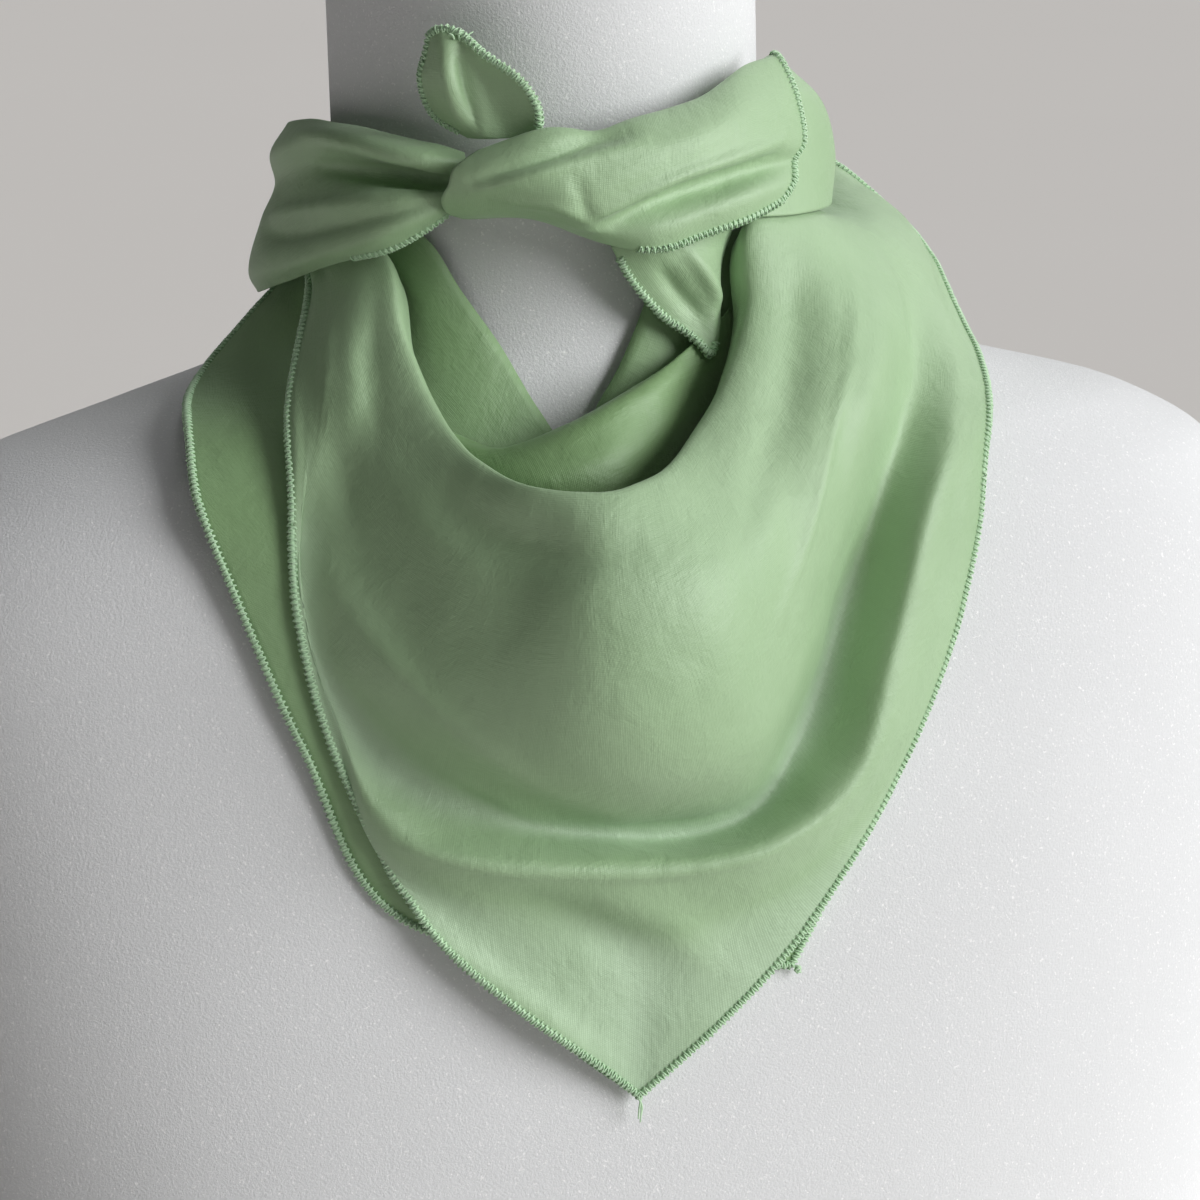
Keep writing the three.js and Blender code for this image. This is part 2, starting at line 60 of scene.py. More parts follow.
# Gaps to the form between which the cloth's painted light goes from whole to none: the cloth is
# painted paler where the white form lies close behind it, standing for light that comes back
# through it from the form.
PAINTED_LIGHT_NEAR, PAINTED_LIGHT_FAR = 3, 9

# Points for each point of a crease's line, and how much of a crease stays at a cloth's first edge.
CREASE_STEPS = 12
EDGE_CREASE = 0.2
UNEVENNESS = {"span": 22, "finer": 2.3, "share": 0.5}

# The overlocked hem's section and its sewing threads. The ranges are shares of a size.
HEM = {"pitch": 1.5, "half_width": 1.1, "half_height": 0.9, "inset": 0.75, "core": 0.75,
       "core_sides": 8, "core_range": (0.9, 1.1), "thread": 0.25, "thread_sides": 4,
       "thread_range": (0.85, 1.15), "bend_range": (0.86, 1.12), "drift": 0.35, "drift_span": 7.3}

# Points for each turn of a wound thread, and the points and sides of a loose thread end.
WRAP_POINTS = 8
END_POINTS, END_SIDES = 25, 6

# The photograph's camera. Its picture is square.
PICTURE = 1200
LOOK_AT = (6.1, -15.7, 186.9)
AZIMUTH, ELEVATION, ROLL = -16, 14, 1.5
DISTANCE = 1100
FOCAL_PIXELS = 4074
SENSOR = 36
CLIP_NEAR, CLIP_FAR = 0.01, 100
FLOOR_REACH = 8000


# Tables

def table(columns, rows):
    """Rows of values as dicts, by the names of their columns."""
    return [dict(zip(columns.split(), row, strict=True)) for row in rows]


# Level sections of the form, from the base to the top of the neck.
FORM_SECTIONS = table("height side front back squareness middle", [
    (0, 186, 93, 95, 2.5, 0),
    (55, 190, 96, 98, 2.45, 0),
    (110, 195, 94, 98, 2.4, 0),
    (160, 198, 88, 94, 2.3, 1),
    (195, 199, 80, 87, 2.2, 2),
    (216, 190, 74, 80, 2.1, 3),
    (232, 165, 68, 74, 2, 4),
    (244, 124, 63, 69, 2, 5),
    (254, 90, 60, 64, 2, 5),
    (266, 69, 58, 60, 2, 5),
    (282, 60, 57, 58, 2, 5),
    (305, 56.8, 57, 57, 2, 5),
    (368, 56.8, 57, 57, 2, 5),
])
FORM_SIDES, FORM_LEVELS, FORM_ROUNDING = 180, 170, 1.5

# Front drape: each cell is turn, reach, height. It hangs from the folded lip to the hem.
FRONT_DRAPE = table("at lip brow belly fold valley ridge dip hem", [
    ("left nape", (-150, 63, 294), (-150, 64, 292), (-150, 65, 290), (-150, 65, 288),
     (-150, 65, 286), (-150, 66, 284), (-150, 66, 283), (-150, 66, 282)),
    ("left back", (-100, 63, 296), (-102, 65, 293), (-104, 67, 291), (-105, 68, 289),
     (-106, 67, 287), (-108, 68, 284), (-109, 68, 282), (-110, 68, 281)),
    ("left side", (-53, 70, 290), (-56, 73, 288), (-60, 74, 286), (-64, 74, 284), (-68, 73, 283),
     (-72, 73, 281), (-74, 72, 280), (-76, 72, 280)),
    ("left top", (-42, 83, 272), (-45, 89, 266), (-47, 95, 261), (-50, 98, 257), (-52, 100, 253),
     (-53, 102, 250), (-54, 104, 248), (-55, 105, 245)),
    ("left", (-32, 97, 253), (-37, 105, 241), (-43, 106, 232), (-48, 111, 223), (-50, 114, 215),
     (-49, 116, 211), (-49, 118, 207), (-49, 119, 204)),
    ("low left", (-24, 111, 244), (-28, 117, 227), (-34, 117, 210), (-39, 120, 199),
     (-44, 118, 188), (-43, 121, 179), (-43, 121, 171), (-42, 122, 164)),
    ("near left", (-17, 122, 241), (-20, 126, 217), (-24, 127, 198), (-28, 124, 183),
     (-33, 112, 163), (-33, 124, 151), (-34, 117, 136), (-32, 118, 124)),
    ("middle", (-10, 125, 240), (-11, 138, 217), (-10, 140, 195), (-10, 131, 171), (-6, 100, 145),
     (-6, 114, 142), (-5, 105, 118), (-6, 105, 76)),
    ("near right", (-4, 118, 241), (-3, 137, 218), (0, 137, 195), (3, 128, 172), (11, 101, 146),
     (9, 116, 142), (14, 108, 125), (18, 108, 113)),
    ("low right", (6, 98, 248), (7, 125, 225), (10, 125, 203), (13, 119, 184), (21, 102, 164),
     (22, 120, 155), (29, 117, 154), (34, 116, 155)),
    ("right", (16, 86, 259), (18, 105, 244), (19, 115, 230), (23, 111, 214), (31, 102, 197),
     (31, 120, 192), (39, 120, 196), (46, 122, 199)),
    ("right top", (27, 76, 274), (32, 86, 268), (33, 98, 259), (34, 106, 249), (42, 104, 233),
     (43, 118, 232), (48, 120, 234), (54, 122, 236)),
    ("right side", (35, 69, 294), (48, 76, 290), (58, 83, 283), (66, 90, 277), (71, 97, 270),
     (76, 105, 264), (78, 108, 261), (80, 112, 258)),
    ("right back", (80, 65, 295), (85, 73, 286), (89, 82, 285), (93, 91, 285), (96, 98, 284),
     (100, 107, 282), (102, 110, 280), (104, 113, 278)),
    ("nape side", (122, 63, 291), (123, 70, 286), (123, 77, 286), (122, 84, 288), (122, 90, 290),
     (121, 97, 293), (120, 100, 294), (120, 104, 295)),
    ("right nape", (152, 63, 296), (152, 66, 294), (152, 68, 292), (152, 70, 290), (152, 71, 288),
     (152, 72, 286), (152, 72, 285), (152, 73, 284)),
])

# Under layer: from its neckline on the throat down to its hem, close to the form.
UNDER_DRAPE = table("at neckline upper lower hem", [
    ("left nape", (-135, 59, 291), (-135, 61, 287), (-135, 63, 283), (-135, 66, 278)),
    ("left back", (-95, 60, 294), (-104, 61, 287), (-112, 63, 281), (-120, 68, 275)),
    ("left side", (-54, 60, 295), (-72, 62, 284), (-90, 66, 278), (-106, 73, 272)),
    ("left top", (-45, 61, 291), (-59, 68, 268), (-77, 82, 262), (-90, 94, 256)),
    ("left", (-37, 61, 279), (-46, 76, 253), (-57, 98, 246), (-69, 116, 247)),
    ("low left", (-27, 63, 265), (-36, 84, 234), (-48, 105, 227), (-61, 126, 232)),
    ("outer left", (-18, 68, 249), (-25, 87, 215), (-38, 105, 198), (-56, 127, 214)),
    ("near left", (-14, 70, 243), (-18, 89, 200), (-28, 104, 167), (-47, 125, 173)),
    ("middle", (-9, 70, 242), (-8, 86, 198), (-11, 98, 155), (-36, 118, 128)),
    ("near middle", (-7, 67, 246), (-2, 83, 205), (-2, 96, 157), (-9, 102, 112)),
    ("near right", (-5, 65, 250), (4, 81, 211), (9, 96, 161), (18, 105, 105)),
    ("right", (1, 62, 259), (25, 75, 238), (32, 95, 207), (36, 111, 159)),
    ("right top", (9, 60, 275), (42, 68, 263), (49, 89, 244), (50, 116, 208)),
    ("right side", (13, 60, 287), (46, 63, 281), (58, 78, 266), (60, 112, 240)),
    ("right turn", (44, 60, 289), (62, 62, 282), (72, 76, 268), (80, 104, 252)),
    ("right back", (80, 60, 290), (85, 66, 281), (90, 78, 271), (96, 92, 262)),
    ("right nape", (135, 59, 290), (135, 61, 286), (135, 65, 282), (135, 70, 277)),
])

# Soft roll of cloth inside the cowl, between the throat and the lip.
COWL_ROLL = table("at back crest face foot", [
    ("left end", (-37, 74, 243), (-34, 84, 243), (-31, 90, 237), (-29, 91, 229)),
    ("left", (-28, 71, 237), (-23, 88, 243), (-20, 98, 238), (-19, 98, 230)),
    ("middle", (-16, 68, 234), (-12, 86, 248), (-9, 96, 242), (-8, 98, 230)),
    ("right", (0, 64, 239), (2, 77, 256), (2, 85, 247), (2, 88, 235)),
    ("far right", (12, 62, 247), (14, 69, 262), (14, 73, 254), (14, 75, 244)),
    ("right end", (30, 64, 262), (30, 64, 270), (30, 65, 264), (30, 66, 257)),
])

# Left wrap, from the side of the neck to the knot, with its long crevice.
LEFT_WRAP = table("at top upper crevice body low edge", [
    ("back", (-120, 66, 311), (-120, 72, 305), (-120, 71, 299), (-120, 74, 292), (-120, 76, 284),
     (-120, 73, 279)),
    ("side", (-102, 68, 316), (-102, 73, 308), (-102, 72, 300), (-102, 76, 291), (-102, 80, 277),
     (-102, 78, 272)),
    ("front", (-80, 66, 320), (-73, 72, 316), (-76, 70, 308), (-74, 75, 297), (-74, 80, 285),
     (-78, 77, 279)),
    ("middle", (-63, 67, 320), (-56, 75, 317), (-60, 69, 311), (-56, 78, 302), (-55, 81, 292),
     (-59, 77, 287)),
    ("near", (-49, 68, 318), (-44, 76, 315), (-48, 68, 310), (-44, 79, 304), (-44, 80, 297),
     (-47, 75, 291)),
    ("end", (-39, 68, 317), (-37, 74, 314), (-39, 69, 309), (-37, 75, 306), (-37, 75, 301),
     (-38, 71, 298)),
    ("knot", (-33, 67, 315), (-32, 70, 313), (-34, 68, 309), (-33, 70, 307), (-34, 69, 304),
     (-35, 66, 302)),
])

# Right wrap, under the flap, from the knot to the back of the neck.
RIGHT_WRAP = table("at top upper lower bottom", [
    ("knot", (-12, 63, 313), (-12, 67, 310), (-12, 67, 304), (-12, 64, 300)),
    ("near", (8, 62, 315), (8, 67, 310), (8, 68, 301), (8, 65, 295)),
    ("middle", (26, 62, 318), (26, 69, 312), (25, 70, 303), (24, 67, 295)),
    ("front", (48, 62, 322), (48, 68, 315), (48, 72, 303), (44, 72, 293)),
    ("turn", (67, 64, 328), (65, 71, 320), (63, 75, 305), (58, 75, 292)),
    ("side", (82, 67, 324), (82, 75, 316), (81, 78, 304), (78, 76, 291)),
    ("back", (115, 66, 315), (115, 74, 310), (115, 76, 303), (115, 72, 296)),
])

# Right flap: the scarf's corner folded over the right wrap, from its top fold to its hem.
RIGHT_FLAP = table("at top edge face roll crease flap hem", [
    ("knot", (-31, 72, 314), (-28, 76, 317), (-32, 80, 313), (-33, 80, 309), (-35, 78, 305),
     (-35, 74, 301), (-33, 70, 299)),
    ("left", (-17, 70, 318), (-15, 75, 322), (-18, 83, 313), (-18, 83, 308), (-19, 79, 303),
     (-19, 75, 300), (-19, 70, 299)),
    ("middle", (-6, 67, 318), (-6, 73, 321), (-8, 82, 313), (-8, 83, 304), (-7, 78, 297),
     (-5, 76, 295), (-3, 74, 292)),
    ("near", (8, 65, 321), (4, 71, 323), (3, 80, 316), (3, 81, 307), (3, 76, 302), (4, 79, 296),
     (6, 77, 290)),
    ("right", (25, 64, 325), (20, 68, 326), (16, 78, 319), (15, 79, 309), (17, 75, 305),
     (15, 79, 299), (17, 77, 293)),
    ("far", (42, 64, 331), (36, 66, 332), (30, 75, 323), (28, 78, 311), (30, 75, 307),
     (26, 79, 302), (25, 78, 295)),
    ("end", (50, 66, 334), (48, 69, 333), (46, 75, 322), (45, 77, 312), (43, 76, 308),
     (40, 78, 303), (35, 78, 298)),
])

# Upper tail: one corner of the square, standing up out of the knot.
UPPER_TAIL = table("at left fold crease right", [
    ("root", (-32, 67, 319), (-28, 69, 319), (-23, 68, 319), (-16, 69, 320)),
    ("low", (-41, 66, 325), (-32, 72, 326), (-25, 69, 326), (-16, 73, 327)),
    ("middle", (-43, 67, 334), (-34, 74, 335), (-28, 70, 335), (-19, 74, 334)),
    ("high", (-41, 68, 340), (-35, 73, 342), (-30, 71, 341), (-24, 73, 339)),
    ("tip", (-40, 68, 345), (-37, 70, 347), (-34, 70, 347), (-31, 70, 344)),
])

# Lower tail: the opposite corner, hanging from behind the flap.
LOWER_TAIL = table("at left fold crease right", [
    ("root", (-2, 69, 291), (7, 72, 292), (18, 70, 293), (33, 64, 291)),
    ("upper", (2, 67, 282), (10, 70, 284), (19, 71.5, 285), (30, 63, 283)),
    ("lower", (10, 66, 271), (17, 68, 273), (22, 70, 276), (28, 64, 274)),
    ("tip", (16, 67, 265), (19, 68, 266), (22, 69, 267), (25, 66, 268)),
    ("end", (18, 69, 261), (19, 70, 260), (20, 70, 260), (22, 68, 262)),
])

# Bands that cross at the nape: level sections, with the puff of the cloth between its edges.
NAPE_BAND_OVER = table("turn low high reach puff", [
    (209.5, 282, 293, 64, 2),
    (196, 282, 294, 70, 3),
    (180, 287, 308, 75, 4),
    (160, 298, 316, 74, 4),
    (138, 299, 317, 70, 5),
    (115.5, 296, 315, 69, 6),
])
NAPE_BAND_UNDER = table("turn low high reach puff", [
    (152.5, 284, 296, 68, 2),
    (166, 285, 299, 66, 2),
    (180, 291, 308, 66, 3),
    (196, 297, 311, 66, 4),
    (216, 294, 310, 69, 4),
    (239.5, 279, 311, 70, 5),
])

# Places across a band, from its low edge to its high one, and how far each takes the puff.
BAND_PROFILE = table("line up out", [
    ("low", 0, -0.4),
    ("body", 0.26, 1),
    ("crevice", 0.5, 0.35),
    ("upper", 0.74, 0.95),
    ("high", 1, -0.3),
])

KNOT_CORE = {"turn": -23, "reach": 67, "height": 309, "across": 8, "deep": 6.8, "tall": 8,
             "pleats": 3, "pleat_depth": 0.08, "rings": 23, "sides": 48}

# Fine creases. Each follows a line of turn and height, and rises or sinks by its lift over its
# width, in millimetres. It fades to its ends, sooner with a larger fade.
CREASE_COLUMNS = "name width lift fade line"
CREASES = {
    "front_layer": table(CREASE_COLUMNS, [
        ("pressed line", 1.8, 1.0, 0.5, ((52, 280), (32, 255), (22, 236), (15, 217), (9, 199))),
        ("finger fold", 6, -2.6, 0.8, ((-32, 240), (-24.5, 231), (-15, 227), (-5, 228))),
        ("left valley", 5, -0.9, 0.6,
         ((-46, 200), (-43, 185), (-38, 170), (-31, 158), (-22, 150))),
        ("belly edge", 3.5, 1.3, 0.6, ((-45, 216), (-35, 196), (-26, 179), (-16, 163), (-6, 154))),
        ("lower ridge", 1.9, 2.0, 0.4,
         ((-36, 151), (-29, 147), (-23, 144), (-15, 142), (-5, 140), (3, 140), (10, 142),
          (16, 147))),
        ("ridge shadow", 3.0, -1.5, 0.4,
         ((-33, 154), (-23, 150), (-15, 148), (-5, 147), (3, 147), (10, 149), (16, 154))),
        ("hem rise", 4, 1.5, 0.4, ((-41, 161), (-32, 126), (-21, 105), (-11, 86))),
        ("soft hollow", 6, -2.2, 0.6, ((-28, 136), (-19, 132), (-11, 123), (-4, 111))),
        ("flap swell", 6, 1.8, 0.6, ((-12, 134), (-2, 124), (6, 108))),
        ("left pleat", 3.0, 0.7, 0.8, ((-60, 280), (-52, 261), (-47, 241))),
        ("inner pleat", 3.0, -0.8, 0.8, ((-52, 279), (-45, 262), (-39, 241))),
        ("left shade", 4.0, -1.4, 0.8, ((-52, 262), (-47, 242), (-42, 224))),
        ("shoulder fold", 4.0, 1.2, 0.8, ((68, 279), (54, 259), (48, 240))),
        ("long fold", 4.5, -1.3, 0.8, ((41, 285), (30, 265), (11, 237), (4, 222))),
        ("right hollow", 6, -1.6, 0.7, ((36, 214), (30, 194), (26, 177), (19, 161))),
        ("low pull", 2.5, 1.0, 0.8, ((-33, 170), (-24, 160), (-16, 149))),
    ]),
    "soft_roll": table(CREASE_COLUMNS, [
        ("roll ridge", 2.5, 1.4, 0.6, ((-24, 241.6), (-14, 246.8), (-3, 253), (15, 258.6))),
    ]),
    "left_end": table(CREASE_COLUMNS, [
        ("upper fold", 2.4, 1.7, 0.6,
         ((-82, 316), (-67, 318), (-51, 317), (-40, 314), (-34, 310))),
        ("crevice", 1.9, -3.2, 0.4,
         ((-72, 309), (-60, 309.4), (-49, 309.2), (-38, 308.2), (-34, 307.6))),
        ("lower fold", 1.9, 1.5, 0.5,
         ((-90, 294), (-79, 297), (-61, 301), (-48, 304.4), (-35, 306.7))),
        ("lower shade", 2.2, -1.8, 0.5,
         ((-90, 290), (-76, 291.5), (-59, 296.5), (-45, 301), (-37, 304))),
    ]),
    "flap": table(CREASE_COLUMNS, [
        ("long hollow", 2.8, -2.4, 0.5, ((6, 303.5), (16, 305.5), (27, 308), (38, 310))),
        ("fold edge", 1.5, 1.7, 0.4, ((-8, 300), (-2, 303.6), (9, 308.8), (22, 311.8), (37, 314))),
        ("top fold", 1.7, -2.0, 0.5, ((-28, 310), (-18, 314.5), (-8, 318.5), (0, 320))),
        ("middle fold", 1.7, 1.2, 0.5, ((-29, 307.5), (-18, 311.7), (-7, 315), (3, 318))),
        ("short pleat", 2.2, -0.9, 0.6, ((-10.5, 311), (-9, 305), (-8, 299))),
        ("low fold", 1.5, 1.0, 0.6, ((-24, 305), (-13, 303), (-7, 298))),
    ]),
    "standing_end": table(CREASE_COLUMNS, [
        ("pleat", 1.5, -1.8, 0.4, ((-32, 341), (-30.7, 331.6), (-29.3, 322))),
        ("ridge", 1.6, 0.8, 0.5, ((-35, 340), (-34, 331.6), (-32.6, 322))),
    ]),
    "hanging_end": table(CREASE_COLUMNS, [
        ("ridge", 2.0, 1.5, 0.5, ((14, 289), (20, 280), (24, 273))),
        ("hollow", 2.2, -1.5, 0.5, ((8, 285), (13.5, 277), (19, 270))),
    ]),
}

# Overlocked edges: the part of each edge that shows a hem, from one share of it to another.
HEMS = table("name cloth edges", [
    ("front_hem", "front_layer", (("last column", 0.04, 0.97),)),
    ("under_hem", "under_layer", (("last column", 0.04, 0.97),)),
    ("flap_hem", "flap", (("last row", 0.05, 1), ("last column", 1, 0.42))),
    ("flap_top_hem", "flap", (("first column", 0.12, 0.42),)),
    ("standing_hem", "standing_end",
     (("first column", 0.05, 1), ("last row", 0, 1), ("last column", 1, 0.05))),
    ("hanging_hem", "hanging_end", (("first column", 0.1, 1), ("last row", 0, 1))),
    ("left_end_hem", "left_end", (("last column", 0.55, 0.95),)),
])

# Loose thread ends, by the corner each hangs from, through points in millimetres from there.
THREAD_ENDS = table("name cloth share lines", [
    ("front_corner_threads", "front_layer", 7 / 15,
     (((0, -0.6, 1), (0.3, -1.0, -2), (0.0, -0.8, -6)),
      ((0.5, -0.6, 1), (-0.3, -1.2, -2), (-0.5, -0.8, -5)),
      ((-0.5, -0.6, 1), (0.5, -1.1, -1.5), (0.4, -0.7, -4)))),
    ("under_corner_knot", "under_layer", 10 / 16,
     (((0, -0.4, 0.4), (1.1, -1.1, 0.6), (1.9, -0.8, -0.5), (1.2, -0.3, -1.3),
       (0.4, -0.8, -0.6), (1.1, -1.3, 0.1), (1.8, -0.8, -0.9), (1.0, -0.6, -1.6)),
      ((0.2, -0.5, -0.4), (0.9, -1.2, -1.1), (1.8, -1.0, -0.1), (1.3, -0.3, 0.4),
       (0.5, -0.6, -0.2), (1.2, -1.1, -0.7), (2.1, -0.7, -1.4)),
      ((0.4, -0.9, -0.9), (1.2, -0.4, 0.1), (1.9, -0.7, 0.2), (1.4, -1.3, -0.6),
       (0.6, -0.9, -1.3)))),
    ("standing_corner_threads", "standing_end", 1.0,
     (((-0.5, 0, -0.5), (0.4, -0.6, 1.0), (1.8, -0.5, 1.8)),
      ((-1.5, 0, -0.3), (-1.9, -0.6, 0.9), (-1.2, -0.5, 2.2)),
      ((-3.0, 0, 0.2), (-3.6, -0.5, 1.3), (-4.4, -0.3, 1.6)))),
])

# Colours, dark and pale, between which each surface's texture goes.
SILK = (0.275, 0.435, 0.22), (0.385, 0.55, 0.325)
# Painted light: a paler copy of the silk, for where the white form lies close behind the thin cloth
# and light comes back through it.
SILK_PAINTED_LIT = (0.385, 0.54, 0.35), (0.485, 0.635, 0.455)
# Painted shade: a darker, more saturated copy of the same silk, for the under layer and the roll
# inside the cowl.
SHADED_SILK = (0.19, 0.335, 0.13), (0.25, 0.41, 0.18)
THREAD = (0.36, 0.60, 0.34), (0.66, 0.86, 0.62)
FORM = (0.69, 0.70, 0.71), (0.83, 0.84, 0.855)
# Painted glints: specks of the cover painted brighter than its grain.
FORM_PAINTED_GLINT = (0.94, 0.94, 0.95)
FLOOR = (0.86, 0.83, 0.80), (0.88, 0.85, 0.82)

# The weave's periods in millimetres, the scales of its threads' thick and thin stretches, how much
# of those shows, and how much of the weave goes into the cloth's tone, above a floor.
WEAVE = {"warp": 0.42, "weft": 0.47, "warp_slubs": (1500, 110, 1), "weft_slubs": (130, 1700, 1),
         "slub_share": 0.45, "texture_share": 0.45, "tone_floor": 0.2}

# Radians that Blender's wave texture turns in a metre, for each unit of its scale.
WAVE_RADIANS = 20

# Cloudy textures: scale and detail, and for some their roughness and distortion.
CLOUDS = {
    "tone": (26.0, 3.0, 0.55),
    "crumple": (75.0, 4.0, 0.6, 0.4),
    "crinkle": (210.0, 3.0, 0.65, 0.6),
    "slub": (1.0, 2.0),
    "fibre": (900.0, 2.0),
    "grain": (1400.0, 3.0, 0.7),
    "cover": (14.0, 2.0),
    "painted_glint": (1300.0, 1.0),
    "floor": (2.0, 2.0),
}

# How far each bump's height reaches in millimetres, and its strength.
BUMPS = table("name distance strength", [
    ("crumple", 1.3, 0.55),
    ("crinkle", 0.3, 0.5),
    ("slubs", 0.09, 0.8),
    ("weave", 0.06, 0.6),
])

LIGHTS = table("name azimuth elevation spread strength", [
    ("window", 50, 17, 40, 3.0),
    ("side_window", 125, 38, 60, 1.1),
    ("ceiling", 0, 85, 90, 0.2),
])
AMBIENT = {"colour": (1.0, 0.99, 0.98), "strength": 0.04}


# Shapes

def place(cells):
    """Points in millimetres for cells of turn, reach and height."""
    cells = np.asarray(cells, float)
    turn = np.radians(cells[..., 0])
    x = cells[..., 1] * np.sin(turn)
    y = NECK_CENTRE_Y - cells[..., 1] * np.cos(turn)
    return np.stack([x, y, cells[..., 2]], axis=-1)


def section_slopes(heights, values):
    """Slopes of a form value at its sections, limited so that the curve never overshoots."""
    rise = np.diff(values) / np.diff(heights)
    product = rise[:-1] * rise[1:]
    total = rise[:-1] + rise[1:]
    inner = np.where(product > 0, 2 * product / np.where(total == 0, 1, total), 0)
    return np.concatenate([rise[:1], inner, rise[-1:]])


def form_at(level):
    """The form's section at each level, as a dict of arrays."""
    heights = np.array([row["height"] for row in FORM_SECTIONS], float)
    level = np.clip(level, 0, heights[-1])
    i = np.clip(np.searchsorted(heights, level, side="right") - 1, 0, len(heights) - 2)
    span = heights[i + 1] - heights[i]
    t = (level - heights[i]) / span
    section = {}
    for key in ("side", "front", "back", "squareness", "middle"):
        values = np.array([row[key] for row in FORM_SECTIONS], float)
        slopes = section_slopes(heights, values)
        low, high = values[i], values[i + 1]
        bend = slopes[i] * span * t * (1 - t) ** 2 - slopes[i + 1] * span * t * t * (1 - t)
        section[key] = low + (high - low) * t * t * (3 - 2 * t) + bend
    return section


def fullness(points):
    """1 on the form's surface, more outside it."""
    section = form_at(points[..., 2])
    depth = points[..., 1] - section["middle"]
    reach = np.where(depth < 0, section["front"], section["back"])
    power = section["squareness"]
    across = np.abs(points[..., 0]) / section["side"]
    along = np.abs(depth) / reach
    return (across ** power + along ** power) ** (1 / power)


def fullness_gradient(points):
    """How fast the fullness grows along each axis."""
    slopes = []
    for axis in range(3):
        step = np.zeros(3)
        step[axis] = GRADIENT_STEP
        slopes.append((fullness(points + step) - fullness(points - step)) / (2 * GRADIENT_STEP))
    return np.stack(slopes, axis=-1)


def smooth_line(cells, t):
    """Centripetal Catmull-Rom line through the first axis of cells, at each t from 0 to 1."""
    cells = np.asarray(cells, float)
    last = len(cells) - 1
    whole = np.concatenate([2 * cells[:1] - cells[1:2], cells, 2 * cells[-1:] - cells[-2:-1]])
    at = np.asarray(t) * last
    k = np.clip(np.floor(at).astype(int), 0, last - 1)
    w = (at - k).reshape((-1,) + (1,) * (cells.ndim - 1))
    p0, p1, p2, p3 = whole[k], whole[k + 1], whole[k + 2], whole[k + 3]
    apart = [np.sqrt(np.linalg.norm(b - a, axis=-1, keepdims=True))
             for a, b in ((p0, p1), (p1, p2), (p2, p3))]
    mid = np.where(apart[1] < 1e-4, 1, apart[1])
    first = np.where(apart[0] < 1e-4, mid, apart[0])
    third = np.where(apart[2] < 1e-4, mid, apart[2])
    start = ((p1 - p0) / first - (p2 - p0) / (first + mid) + (p2 - p1) / mid) * mid
    end = ((p2 - p1) / mid - (p3 - p1) / (mid + third) + (p3 - p2) / third) * mid
    bend = -3 * p1 + 3 * p2 - 2 * start - end
    return p1 + start * w + bend * w ** 2 + (2 * p1 - 2 * p2 + start + end) * w ** 3


def spread(cells, finer, corner=0):
    """Points spread evenly along a smooth line through cells, with one sharp corner if asked."""
    cells = np.asarray(cells, float)
    if corner:
        first = spread(cells[:corner + 1], finer)
        return np.concatenate([first, spread(cells[corner:], finer)[1:]])
    steps = (len(cells) - 1) * finer
    return smooth_line(cells, np.arange(steps + 1) / steps)


def sheet_grid(rows, finer_along, finer_across, corner=0):
    """Grid of points from rows of cells. The last column's line has the square's corner."""
    names = [name for name in rows[0] if name != "at"]
    cells = np.array([[row[name] for name in names] for row in rows], float)
    lines = spread(cells, finer_along)
    if corner:
        lines[:, -1] = spread(cells[:, -1], finer_along, corner)
    across = spread(np.swapaxes(lines, 0, 1), finer_across)
    return place(np.swapaxes(across, 0, 1))


def tucked(rows):
    """The drape's rows with a first column inside its folded lip."""
    return [{"at": row["at"], "inside": tuple(np.add(row["lip"], LIP_TUCK)), **row} for row in rows]


def band_cells(rows):
    """A nape band's level sections as rows of cells."""
    return [{line["line"]: (row["turn"], row["reach"] + row["puff"] * line["out"],
                            row["low"] + (row["high"] - row["low"]) * line["up"])
             for line in BAND_PROFILE} for row in rows]


def tree_of(node):
    """A CAD node's surface, for rays."""
    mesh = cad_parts[node].data
    corners = [vertex.co for vertex in mesh.vertices]
    return BVHTree.FromPolygons(corners, [face.vertices for face in mesh.polygons])


def pushes_of(grid, below):
    """How far each point of a coarse grid moves to clear the form and the cloth below it."""
    gradient = fullness_gradient(grid)
    steep = np.linalg.norm(gradient, axis=-1)
    away = gradient / steep[..., None]
    push = CLEAR_OF_FORM - (fullness(grid) - 1) / steep
    for node in below:
        tree = tree_of(node)
        for i, j in np.ndindex(push.shape):
            start = Vector((grid[i, j] + away[i, j] * SEARCH_DEPTH) * MM)
            hit = tree.ray_cast(start, Vector(-away[i, j]), 2 * SEARCH_DEPTH * MM)
            if hit[0] is not None:
                push[i, j] = max(push[i, j], SEARCH_DEPTH - hit[3] / MM + CLEAR_OF_CLOTH)
    push = np.maximum(push, 0)
    for _ in range(EASE_PASSES):
        padded = np.pad(push, 1, constant_values=np.nan)
        near = np.stack([padded[:-2, 1:-1], padded[2:, 1:-1], padded[1:-1, :-2], padded[1:-1, 2:]])
        push = np.maximum(push, np.nanmean(near, axis=0))
    return push


def finer_values(values, finer):
    """Values at a coarse grid's points, spread smoothly to a grid that is finer times as fine."""
    for _ in range(2):
        count = (len(values) - 1) * finer + 1
        at = np.arange(count) / finer
        values = np.stack([np.interp(at, np.arange(len(values)), column)
                           for column in values.T])
    return values


def eased(values, passes):
    """Values averaged with their neighbours, a pass at a time."""
    for _ in range(passes):
        edge = np.pad(values, [(1, 1), (1, 1)] + [(0, 0)] * (values.ndim - 2), mode="edge")
        values = (edge[:-2, 1:-1] + edge[2:, 1:-1] + edge[1:-1, :-2] + edge[1:-1, 2:]) / 4
    return values


def laid_grid(rows, steps, below, finer, corner=0):
    """A fine grid that lies in the middle of the CAD cloth's wall."""
    coarse = sheet_grid(rows, steps[0], steps[1], corner)
    fine = sheet_grid(rows, steps[0] * finer, steps[1] * finer, corner)
    push = eased(finer_values(pushes_of(coarse, below), finer), finer)
    gradient = fullness_gradient(fine)
    away = gradient / np.linalg.norm(gradient, axis=-1, keepdims=True)
    return fine + away * push[..., None]


